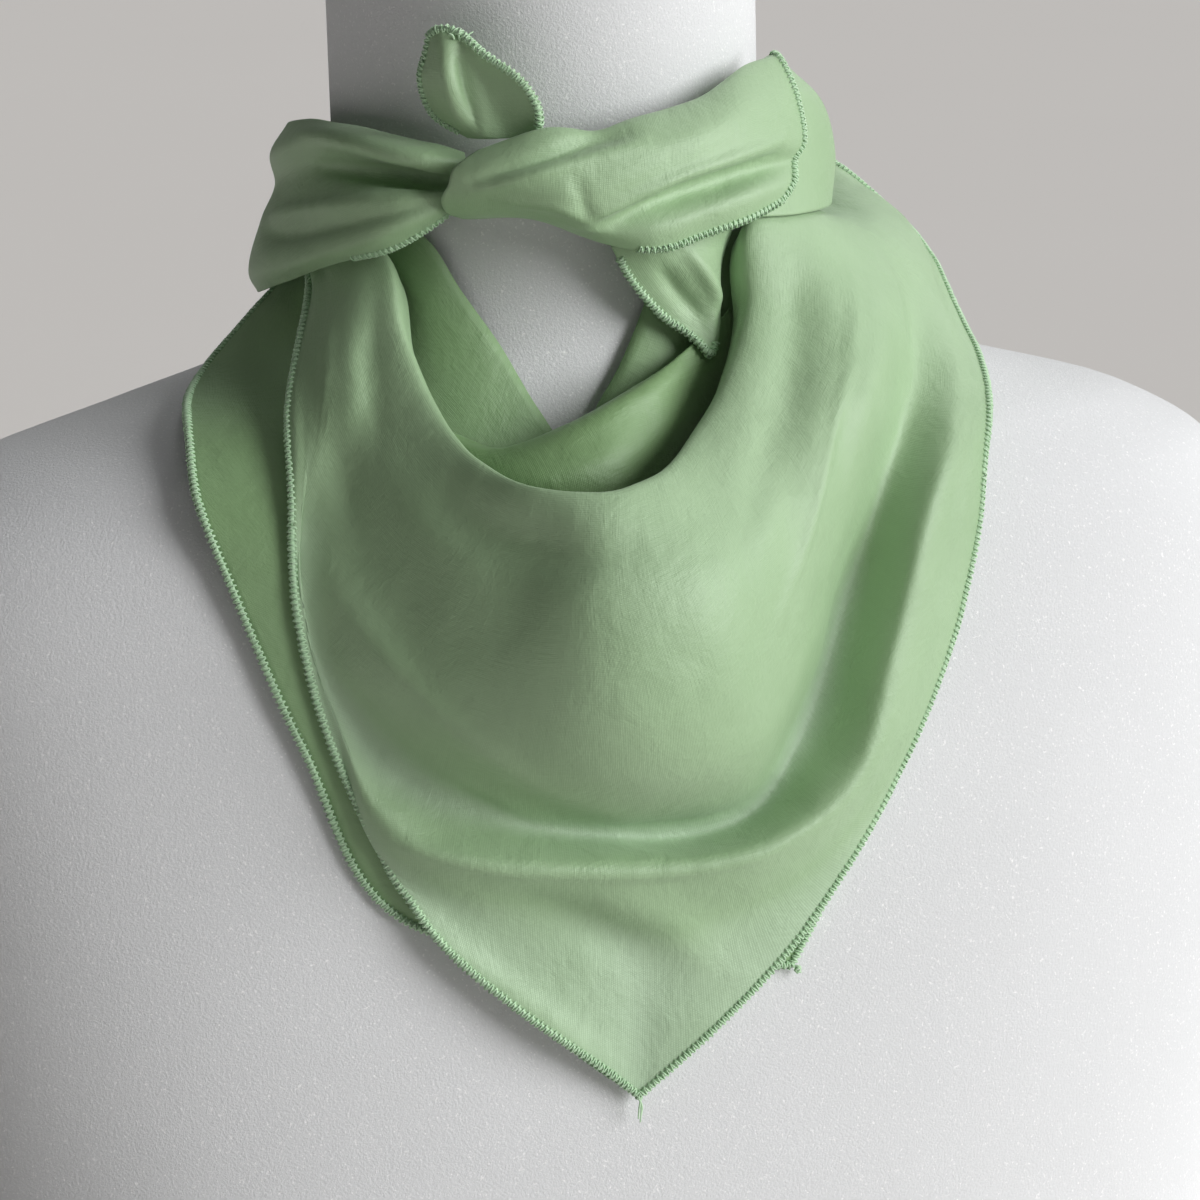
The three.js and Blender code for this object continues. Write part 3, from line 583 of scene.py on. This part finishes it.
def cells_of(points):
    """Turn in degrees, reach and height of each point."""
    depth = NECK_CENTRE_Y - points[..., 1]
    turn = np.degrees(np.arctan2(points[..., 0], depth))
    return turn, np.hypot(points[..., 0], depth), points[..., 2]


def creased(grid, rows):
    """The grid with each crease's rise or hollow along its line, square to the cloth."""
    turn, reach, height = cells_of(grid)
    lift = np.zeros(turn.shape)
    for row in rows:
        count = len(row["line"]) * CREASE_STEPS
        steps = np.arange(count) / (count - 1)
        line = smooth_line(row["line"], steps)
        nearest = np.full(turn.shape, np.inf)
        share = np.zeros(turn.shape)
        for step, (line_turn, line_height) in zip(steps, line):
            apart = np.hypot(np.radians(turn - line_turn) * reach, height - line_height)
            share = np.where(apart < nearest, step, share)
            nearest = np.minimum(nearest, apart)
        fading = np.sin(np.pi * np.clip(share, 0.02, 0.98)) ** row["fade"]
        lift += row["lift"] * fading * np.exp(-(nearest / row["width"]) ** 2)
    lift[:, 0] *= EDGE_CREASE
    return grid + grid_normals(grid) * outward_sign(grid) * lift[..., None]


def outward_sign(grid):
    """1 where a grid's own normals point away from the form, -1 where they point to it."""
    return np.sign((grid_normals(grid) * fullness_gradient(grid)).sum(axis=-1).mean())


def uneven(grid, depth):
    """The grid with a gentle unevenness, at two sizes, as high as the depth in millimetres."""
    span, finer, share = (UNEVENNESS[key] for key in ("span", "finer", "share"))
    lift = np.array([noise.noise(Vector(point) / span)
                     + share * noise.noise(Vector(point) * finer / span)
                     for point in grid.reshape(-1, 3)]).reshape(grid.shape[:2])
    return grid + grid_normals(grid) * (depth * lift)[..., None]


def grid_normals(grid):
    """The direction square to the cloth at each point of its grid."""
    normal = np.cross(np.gradient(grid, axis=0), np.gradient(grid, axis=1))
    return normal / np.maximum(np.linalg.norm(normal, axis=-1, keepdims=True), 1e-9)


def scene_object(name, data):
    """An object in the scene that shows a mesh, a camera or a light."""
    shown = bpy.data.objects.new(name, data)
    bpy.context.scene.collection.objects.link(shown)
    return shown


def mesh_object(name, points, faces, material, uv=None):
    """A smooth mesh of points in millimetres, in the scene."""
    mesh = bpy.data.meshes.new(name)
    mesh.from_pydata((np.asarray(points).reshape(-1, 3) * MM).tolist(), [], faces)
    if uv is not None:
        layer = mesh.uv_layers.new(name="cloth")
        flat = uv.reshape(-1, 2)
        loops = np.array([loop.vertex_index for loop in mesh.loops])
        layer.data.foreach_set("uv", flat[loops].astype(np.float32).ravel())
    mesh.shade_smooth()
    mesh.materials.append(material)
    return scene_object(name, mesh)


def grid_faces(rows, columns):
    """Faces that join the neighbours of a grid."""
    return [(i * columns + j, (i + 1) * columns + j, (i + 1) * columns + j + 1, i * columns + j + 1)
            for i in range(rows - 1) for j in range(columns - 1)]


def cloth_uv(grid):
    """Distances along and across the cloth, in metres."""
    step_along = np.linalg.norm(np.diff(grid, axis=0), axis=-1).mean(axis=1)
    along = np.concatenate([[0], np.cumsum(step_along)])
    step_across = np.linalg.norm(np.diff(grid, axis=1), axis=-1)
    across = np.concatenate([np.zeros((len(grid), 1)), np.cumsum(step_across, axis=1)], axis=1)
    return np.stack([np.broadcast_to(along[:, None], across.shape), across], axis=-1) * MM


def cloth_object(name, grid, material):
    """A thin cloth on a grid, with the share of its painted light, from how closely the white form
    lies behind it, kept at each point.
    """
    piece = mesh_object(name, grid, grid_faces(*grid.shape[:2]), material, cloth_uv(grid))
    gradient = np.linalg.norm(fullness_gradient(grid), axis=-1)
    gap = (fullness(grid) - 1) / gradient
    # Painted light: the share by which the cloth is painted paler, whole near the form and none far
    # from it.
    painted_light_share = np.clip((PAINTED_LIGHT_FAR - gap) / (PAINTED_LIGHT_FAR - PAINTED_LIGHT_NEAR), 0, 1)
    layer = piece.data.attributes.new("painted_light_share", "FLOAT", "POINT")
    layer.data.foreach_set("value", painted_light_share.astype(np.float32).ravel())
    shell = piece.modifiers.new("thickness", "SOLIDIFY")
    shell.thickness = CLOTH_THICKNESS * MM
    shell.offset = 0
    return piece


# Hems

def edge_line(grid, edge, start, end):
    """Points on one edge of a grid from a share of its length to another, with what lies inside."""
    turned = grid if "column" in edge else np.swapaxes(grid, 0, 1)
    first = "first" in edge
    outer, inner = (turned[:, 0], turned[:, 1]) if first else (turned[:, -1], turned[:, -2])
    normal = grid_normals(grid) * outward_sign(grid)
    normal = normal if "column" in edge else np.swapaxes(normal, 0, 1)
    normal = normal[:, 0] if first else normal[:, -1]
    last = len(outer) - 1
    low, high = round(min(start, end) * last), round(max(start, end) * last)
    part = slice(low, high + 1)
    lines = [outer[part], inner[part] - outer[part], normal[part]]
    return [line[::-1] for line in lines] if start > end else lines


def hem_frames(grid, edges, spacing):
    """Points along a hem at a spacing, with directions into the cloth and away from it."""
    parts = [edge_line(grid, *edge) for edge in edges]
    points, inward, normal = (np.concatenate([part[k] for part in parts]) for k in range(3))
    keep = np.concatenate([[True], np.linalg.norm(np.diff(points, axis=0), axis=1) > 1e-3])
    points, inward, normal = points[keep], inward[keep], normal[keep]
    far = np.concatenate([[0], np.cumsum(np.linalg.norm(np.diff(points, axis=0), axis=1))])
    at = np.linspace(0, far[-1], max(int(far[-1] / spacing), 2) + 1)
    points, inward, normal = (np.stack([np.interp(at, far, line[:, k]) for k in range(3)], axis=1)
                              for line in (points, inward, normal))
    along = np.gradient(points, axis=0)
    along /= np.linalg.norm(along, axis=1, keepdims=True)
    normal -= along * (normal * along).sum(axis=1, keepdims=True)
    normal /= np.linalg.norm(normal, axis=1, keepdims=True)
    across = np.cross(normal, along)
    across *= np.sign((across * inward).sum(axis=1, keepdims=True))
    return at, points, across, normal


def tube(points, radii, sides):
    """Vertices and faces of a round tube along points, closed at both ends."""
    along = np.gradient(points, axis=0)
    along /= np.maximum(np.linalg.norm(along, axis=1, keepdims=True), 1e-9)
    helper = np.where(np.abs(along[:, 2:]) < 0.9, [[0, 0, 1.0]], [[1.0, 0, 0]])
    one = np.cross(along, helper)
    one /= np.linalg.norm(one, axis=1, keepdims=True)
    two = np.cross(along, one)
    angle = 2 * np.pi * np.arange(sides)[:, None] / sides
    ring = one[:, None] * np.cos(angle) + two[:, None] * np.sin(angle)
    places = points[:, None] + ring * np.reshape(radii, (-1, 1, 1))
    last = (len(points) - 1) * sides
    faces = [(k + s, k + (s + 1) % sides, k + sides + (s + 1) % sides, k + sides + s)
             for k in range(0, last, sides) for s in range(sides)]
    faces += [tuple(range(sides))[::-1], tuple(range(last, last + sides))]
    return places.reshape(-1, 3), faces


def joined(parts):
    """One list of vertices and faces from several."""
    places, faces, start = [], [], 0
    for part_places, part_faces in parts:
        places.append(part_places)
        faces += [tuple(start + corner for corner in face) for face in part_faces]
        start += len(part_places)
    return np.concatenate(places), faces


def wound(at, points, across, normal, turned, random):
    """A thread wound round a hem: one turn each pitch, turned one way or the other."""
    bends = random.uniform(*HEM["bend_range"], len(at) // WRAP_POINTS + 1)
    bends = np.repeat(bends, WRAP_POINTS)[:len(at)]
    angle = turned * 2 * np.pi * at / HEM["pitch"] + HEM["drift"] * np.sin(at / HEM["drift_span"])
    wide = HEM["half_width"] * bends
    tall = HEM["half_height"] * (0.9 + 0.2 * bends)
    return (points + across * (HEM["inset"] + wide * np.cos(angle))[:, None]
            + normal * (tall * np.sin(angle))[:, None])


def hem_object(name, grid, edges, seed):
    """An overlocked edge: a soft rolled core with two threads wound round it."""
    random = np.random.default_rng(seed)
    at, points, across, normal = hem_frames(grid, edges, HEM["pitch"] / WRAP_POINTS)
    core = points[::WRAP_POINTS] + across[::WRAP_POINTS] * HEM["inset"]
    radii = HEM["core"] * random.uniform(*HEM["core_range"], len(core))
    parts = [tube(core, radii, HEM["core_sides"])]
    for turned in (1, -1):
        thread = wound(at, points, across, normal, turned, random)
        radii = HEM["thread"] * random.uniform(*HEM["thread_range"], len(thread))
        parts.append(tube(thread, radii, HEM["thread_sides"]))
    return mesh_object(name, *joined(parts), hem_thread)


def thread_object(name, start, lines):
    """Loose thread ends: thin tubes from one place, each through its own points."""
    steps = np.arange(END_POINTS) / (END_POINTS - 1)
    radii = np.linspace(HEM["thread"] * 1.2, HEM["thread"] * 0.8, END_POINTS)
    parts = [tube(smooth_line(line, steps) + start, radii, END_SIDES) for line in lines]
    return mesh_object(name, *joined(parts), hem_thread)


# Materials

def node_of(tree, kind, values=None, **settings):
    """A shader node with its settings and its sockets' values."""
    node = tree.nodes.new(kind)
    for key, value in settings.items():
        setattr(node, key, value)
    for key, value in (values or {}).items():
        node.inputs[key].default_value = value
    return node


def new_material(name, values):
    """A material, its node tree, its shader and its texture coordinates."""
    material = bpy.data.materials.new(name)
    material.use_nodes = True
    tree = material.node_tree
    shader = tree.nodes["Principled BSDF"]
    for key, value in values.items():
        shader.inputs[key].default_value = value
    return material, tree, shader, node_of(tree, "ShaderNodeTexCoord").outputs


def fed(tree, socket, value):
    """Gives a socket a plain value or another node's output."""
    if isinstance(value, bpy.types.NodeSocket):
        tree.links.new(value, socket)
    else:
        socket.default_value = value


def combined(tree, operation, *values):
    """The result of a sum or product of values and other nodes' outputs."""
    node = node_of(tree, "ShaderNodeMath", operation=operation)
    for socket, value in zip(node.inputs, values):
        fed(tree, socket, value)
    return node.outputs[0]


def mixed_colour(tree, factor, low, high):
    """A colour between two, each of them a plain colour or another node's output."""
    mix = node_of(tree, "ShaderNodeMix", data_type="RGBA")
    fed(tree, mix.inputs[0], factor)
    for socket, colour in ((mix.inputs[6], low), (mix.inputs[7], high)):
        fed(tree, socket, (*colour, 1) if isinstance(colour, tuple) else colour)
    return mix.outputs[2]


def clouds(tree, places, name):
    """One of the cloudy textures, at places in the object or on the cloth."""
    values = dict(zip(("Scale", "Detail", "Roughness", "Distortion"), CLOUDS[name]))
    texture = node_of(tree, "ShaderNodeTexNoise", values)
    tree.links.new(places, texture.inputs["Vector"])
    return texture.outputs["Fac"]


def bumped(tree, shader, height, distance, strength, under=None):
    """Bumps on the shader's surface, over the bumps of another node if one is given."""
    bump = node_of(tree, "ShaderNodeBump", {"Distance": distance * MM, "Strength": strength})
    tree.links.new(height, bump.inputs["Height"])
    if under is not None:
        tree.links.new(under, bump.inputs["Normal"])
    tree.links.new(bump.outputs["Normal"], shader.inputs["Normal"])
    return bump.outputs["Normal"]


def threads(tree, places, period, direction):
    """One set of a weave's threads, side by side at a period in millimetres."""
    wave = node_of(tree, "ShaderNodeTexWave", {
        "Scale": 2 * math.pi / (WAVE_RADIANS * period * MM), "Distortion": 0.6, "Detail": 1.0,
        "Detail Scale": 0.4}, bands_direction=direction)
    tree.links.new(places, wave.inputs["Vector"])
    return wave.outputs["Fac"]


def slubs(tree, places, scale):
    """Thicker and thinner stretches of thread, drawn out along one direction of the weave."""
    mapping = node_of(tree, "ShaderNodeMapping", {"Scale": scale})
    tree.links.new(places, mapping.inputs["Vector"])
    return clouds(tree, mapping.outputs["Vector"], "slub")


def silk_material(name, plain, painted_lit, sheen=0.2):
    """Plain-weave silk: two sets of threads, soft crumple, and a satin sheen.

    The thin cloth is painted paler where the white form lies close behind it: painted light, for
    light that comes back through the cloth from the form."""
    material, tree, shader, places = new_material(name, {
        "Roughness": 0.54, "Sheen Weight": sheen, "Sheen Roughness": 0.4,
        "Sheen Tint": (0.9, 1.0, 0.94, 1), "IOR": 1.6, "Specular IOR Level": 0.75,
        "Specular Tint": (0.94, 1.0, 0.97, 1)})
    on_cloth, in_object = places["UV"], places["Object"]
    weave = combined(tree, "MULTIPLY", threads(tree, on_cloth, WEAVE["warp"], "X"),
                     threads(tree, on_cloth, WEAVE["weft"], "Y"))
    slub_sum = combined(tree, "ADD", slubs(tree, on_cloth, WEAVE["warp_slubs"]),
                        slubs(tree, on_cloth, WEAVE["weft_slubs"]))
    texture = combined(tree, "MULTIPLY_ADD", slub_sum, WEAVE["slub_share"], weave)
    tone = combined(tree, "SUBTRACT", clouds(tree, in_object, "tone"), WEAVE["tone_floor"])
    blend = combined(tree, "MULTIPLY_ADD", texture, WEAVE["texture_share"], tone)
    # Painted light: paler colour where the white form lies close behind the cloth.
    painted_light_share = node_of(tree, "ShaderNodeAttribute", attribute_name="painted_light_share").outputs["Fac"]
    colour = mixed_colour(tree, painted_light_share, mixed_colour(tree, blend, *plain),
                          mixed_colour(tree, blend, *painted_lit))
    tree.links.new(colour, shader.inputs["Base Color"])
    heights = {"crumple": clouds(tree, in_object, "crumple"),
               "crinkle": clouds(tree, in_object, "crinkle"), "slubs": slub_sum, "weave": weave}
    normal = None
    for row in BUMPS:
        normal = bumped(tree, shader, heights[row["name"]], row["distance"], row["strength"],
                        normal)
    return material


def thread_material():
    """The hem's sewing thread, with a fine fibre."""
    material, tree, shader, places = new_material("hem_thread", {
        "Roughness": 0.5, "Sheen Weight": 0.3, "Sheen Roughness": 0.5, "Specular IOR Level": 0.4})
    fibre = clouds(tree, places["Object"], "fibre")
    tree.links.new(mixed_colour(tree, fibre, *THREAD), shader.inputs["Base Color"])
    bumped(tree, shader, fibre, 0.1, 0.4)
    return material


def form_material():
    """White cover with a fine grain, and scattered painted glints: specks brighter than the grain.
    """
    material, tree, shader, places = new_material("form_cover", {
        "Roughness": 0.9, "Sheen Weight": 0.25, "Sheen Roughness": 0.6, "Specular IOR Level": 0.2})
    grain = clouds(tree, places["Object"], "grain")
    cloud = combined(tree, "MULTIPLY", clouds(tree, places["Object"], "cover"), 0.5)
    shade = combined(tree, "MULTIPLY_ADD", grain, 0.5, cloud)
    # Painted glints: the brightest specks of a fine texture take the glint colour.
    painted_glint = node_of(tree, "ShaderNodeMapRange", {"From Min": 0.63, "From Max": 0.75})
    tree.links.new(clouds(tree, places["Object"], "painted_glint"), painted_glint.inputs["Value"])
    colour = mixed_colour(tree, painted_glint.outputs["Result"], mixed_colour(tree, shade, *FORM),
                          FORM_PAINTED_GLINT)
    tree.links.new(colour, shader.inputs["Base Color"])
    bumped(tree, shader, grain, 0.35, 0.7)
    return material


def floor_material():
    """A pale, plain, matte floor."""
    material, tree, shader, places = new_material("floor", {
        "Roughness": 0.9, "Specular IOR Level": 0.1})
    cloud = clouds(tree, places["Object"], "floor")
    tree.links.new(mixed_colour(tree, cloud, *FLOOR), shader.inputs["Base Color"])
    return material


silk = silk_material("silk", SILK, SILK_PAINTED_LIT)
# Painted shade for the under layer and the roll: the darker copy of the silk, painted paler where
# the form lies close behind it.
shaded_silk = silk_material("silk_painted_shade", SHADED_SILK, (SHADED_SILK[1], SILK[0]), sheen=0.1)
hem_thread = thread_material()
form_cover = form_material()

# The cloths, each laid over the CAD nodes below it. The tip is the row of the square's corner.
CLOTHS = table("name node cells steps tip below finer look unevenness", [
    ("under_layer", "under_drape", UNDER_DRAPE, (3, 3), 10, (), 4, shaded_silk, 0.25),
    ("soft_roll", "cowl_roll", COWL_ROLL, (3, 3), 0, ("under_drape",), 5, shaded_silk, 0.3),
    ("front_layer", "front_drape", tucked(FRONT_DRAPE), (3, 3), 7, ("under_drape",), 5, silk, 0.4),
    ("nape_under", "nape_band_under", band_cells(NAPE_BAND_UNDER), (3, 3), 0,
     ("under_drape", "front_drape"), 5, silk, 0.25),
    ("left_end", "left_wrap", LEFT_WRAP, (3, 2), 0,
     ("under_drape", "front_drape", "nape_band_under"), 6, silk, 0.25),
    ("right_end", "right_wrap", RIGHT_WRAP, (3, 3), 0, ("under_drape", "front_drape"), 6, silk,
     0.2),
    ("nape_over", "nape_band_over", band_cells(NAPE_BAND_OVER), (3, 3), 0,
     ("under_drape", "front_drape", "nape_band_under"), 5, silk, 0.3),
    ("flap", "right_flap", RIGHT_FLAP, (3, 2), 0, ("left_wrap", "right_wrap"), 7, silk, 0.25),
    ("standing_end", "upper_tail", UPPER_TAIL, (2, 3), 0, ("right_wrap",), 8, silk, 0.15),
    ("hanging_end", "lower_tail", LOWER_TAIL, (2, 3), 0, ("right_wrap", "cowl_roll"), 8, silk,
     0.15),
])


# The form and the knot

def closed_faces(rings, sides):
    """Faces that join rings of points, closed by the two points that follow them."""
    last = (rings - 1) * sides
    base, cap = rings * sides, rings * sides + 1
    faces = []
    for k in range(sides):
        after = (k + 1) % sides
        faces += [(base, after, k), (cap, last + k, last + after)]
        for low in range(0, last, sides):
            high = low + sides
            faces.append((low + k, low + after, high + after, high + k))
    return faces


def form_object():
    """The form's smooth skin, with slightly rounded plain cuts for its neck top and base."""
    top = FORM_SECTIONS[-1]["height"]
    levels = np.concatenate([np.linspace(0, top - FORM_ROUNDING, FORM_LEVELS), [top]])
    angle = 2 * np.pi * np.arange(FORM_SIDES) / FORM_SIDES
    rings = []
    for level in levels:
        section = form_at(np.array(level))
        power = 2 / section["squareness"]
        depth = np.where(np.sin(angle) < 0, section["front"], section["back"])
        inset = FORM_ROUNDING if level in (0, top) else 0
        x = (section["side"] - inset) * np.sign(np.cos(angle)) * np.abs(np.cos(angle)) ** power
        y = (depth - inset) * np.sign(np.sin(angle)) * np.abs(np.sin(angle)) ** power
        rings.append(np.stack([x, y + section["middle"], np.full(FORM_SIDES, level)], axis=-1))
    points = np.concatenate([*rings, [[0, 0, 0], [0, NECK_CENTRE_Y, top]]])
    return mesh_object("dress_form", points, closed_faces(len(levels), FORM_SIDES), form_cover)


def knot_object():
    """The heart of the knot: a small pleated lump against the neck."""
    rings, sides = KNOT_CORE["rings"], KNOT_CORE["sides"]
    polar = np.pi * np.arange(1, rings + 1) / (rings + 1)
    angle = 2 * np.pi * np.arange(sides) / sides
    x = np.sin(polar)[:, None] * np.cos(angle)
    z = np.sin(polar)[:, None] * np.sin(angle)
    y = np.broadcast_to(np.cos(polar)[:, None], x.shape)
    ball = np.stack([x, y, z], axis=-1).reshape(-1, 3)
    ball = np.concatenate([ball, [[0, 1, 0], [0, -1, 0]]])
    pleat = 1 + KNOT_CORE["pleat_depth"] * np.cos(
        KNOT_CORE["pleats"] * np.arctan2(ball[:, 2], ball[:, 0]) + ball[:, 1])
    ball = ball * [KNOT_CORE["across"], KNOT_CORE["deep"], KNOT_CORE["tall"]] * pleat[:, None]
    turned = ball @ np.array(Matrix.Rotation(math.radians(KNOT_CORE["turn"]), 3, "Z")).T
    centre = place([KNOT_CORE["turn"], KNOT_CORE["reach"], KNOT_CORE["height"]])
    return mesh_object("knot", turned + centre, closed_faces(rings, sides), silk)


# The stage

def towards(azimuth, elevation):
    """The direction from the form to a camera or a light at these angles, from its front."""
    turn, rise = math.radians(azimuth), math.radians(elevation)
    return np.array([math.sin(turn) * math.cos(rise), -math.cos(turn) * math.cos(rise),
                     math.sin(rise)])


def camera_object():
    """The photograph's camera."""
    turn, roll = math.radians(AZIMUTH), math.radians(ROLL)
    back = towards(AZIMUTH, ELEVATION)
    level = np.array([math.cos(turn), math.sin(turn), 0])
    above = np.cross(back, level)
    right = level * math.cos(roll) - above * math.sin(roll)
    up = level * math.sin(roll) + above * math.cos(roll)
    eye = (np.array(LOOK_AT) + back * DISTANCE) * MM
    data = bpy.data.cameras.new("camera")
    data.sensor_width = SENSOR
    data.lens = FOCAL_PIXELS / PICTURE * SENSOR
    data.clip_start, data.clip_end = CLIP_NEAR, CLIP_FAR
    camera = scene_object("camera", data)
    camera.matrix_world = Matrix([[right[k], up[k], back[k], eye[k]] for k in range(3)]
                                 + [[0, 0, 0, 1]])
    bpy.context.scene.camera = camera


def light_objects():
    """Soft daylight from two windows and a ceiling, in a dim room."""
    for row in LIGHTS:
        data = bpy.data.lights.new(row["name"], "SUN")
        data.energy = row["strength"]
        data.angle = math.radians(row["spread"])
        source = Vector(towards(row["azimuth"], row["elevation"]))
        light = scene_object(row["name"], data)
        light.rotation_euler = source.to_track_quat("Z", "Y").to_euler()
    world = bpy.data.worlds.new("room")
    world.use_nodes = True
    background = world.node_tree.nodes["Background"]
    background.inputs["Color"].default_value = (*AMBIENT["colour"], 1)
    background.inputs["Strength"].default_value = AMBIENT["strength"]
    bpy.context.scene.world = world
    bpy.context.scene.view_settings.view_transform = "Standard"


def floor_object():
    """The floor, which is part of the stage and not of the object."""
    corners = FLOOR_REACH * np.array([(-1, -1, 0), (1, -1, 0), (1, 1, 0), (-1, 1, 0)])
    mesh_object("floor", corners, [(0, 1, 2, 3)], floor_material())


def dressed(piece, node=None):
    """A piece that rides on the body, and shows in place of a CAD node."""
    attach(piece, "root")
    if node:
        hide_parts(node)
    return piece


camera_object()
light_objects()
floor_object()
dressed(form_object(), "form_body")
dressed(knot_object(), "knot_core")
grids, pieces, trims = {}, {}, {}
for row in CLOTHS:
    grid = laid_grid(row["cells"], row["steps"], row["below"], row["finer"], row["tip"])
    grid = creased(grid, CREASES.get(row["name"], ()))
    grid = uneven(grid, row["unevenness"])
    grids[row["name"]] = grid
    pieces[row["name"]] = dressed(cloth_object(row["name"], grid, row["look"]), row["node"])
    trims[row["name"]] = []
for seed, row in enumerate(HEMS):
    hem = hem_object(row["name"], grids[row["cloth"]], row["edges"], seed)
    trims[row["cloth"]].append(dressed(hem))
for row in THREAD_ENDS:
    edge = grids[row["cloth"]][:, -1]
    start = edge[round(row["share"] * (len(edge) - 1))]
    ends = thread_object(row["name"], start, row["lines"])
    trims[row["cloth"]].append(dressed(ends))
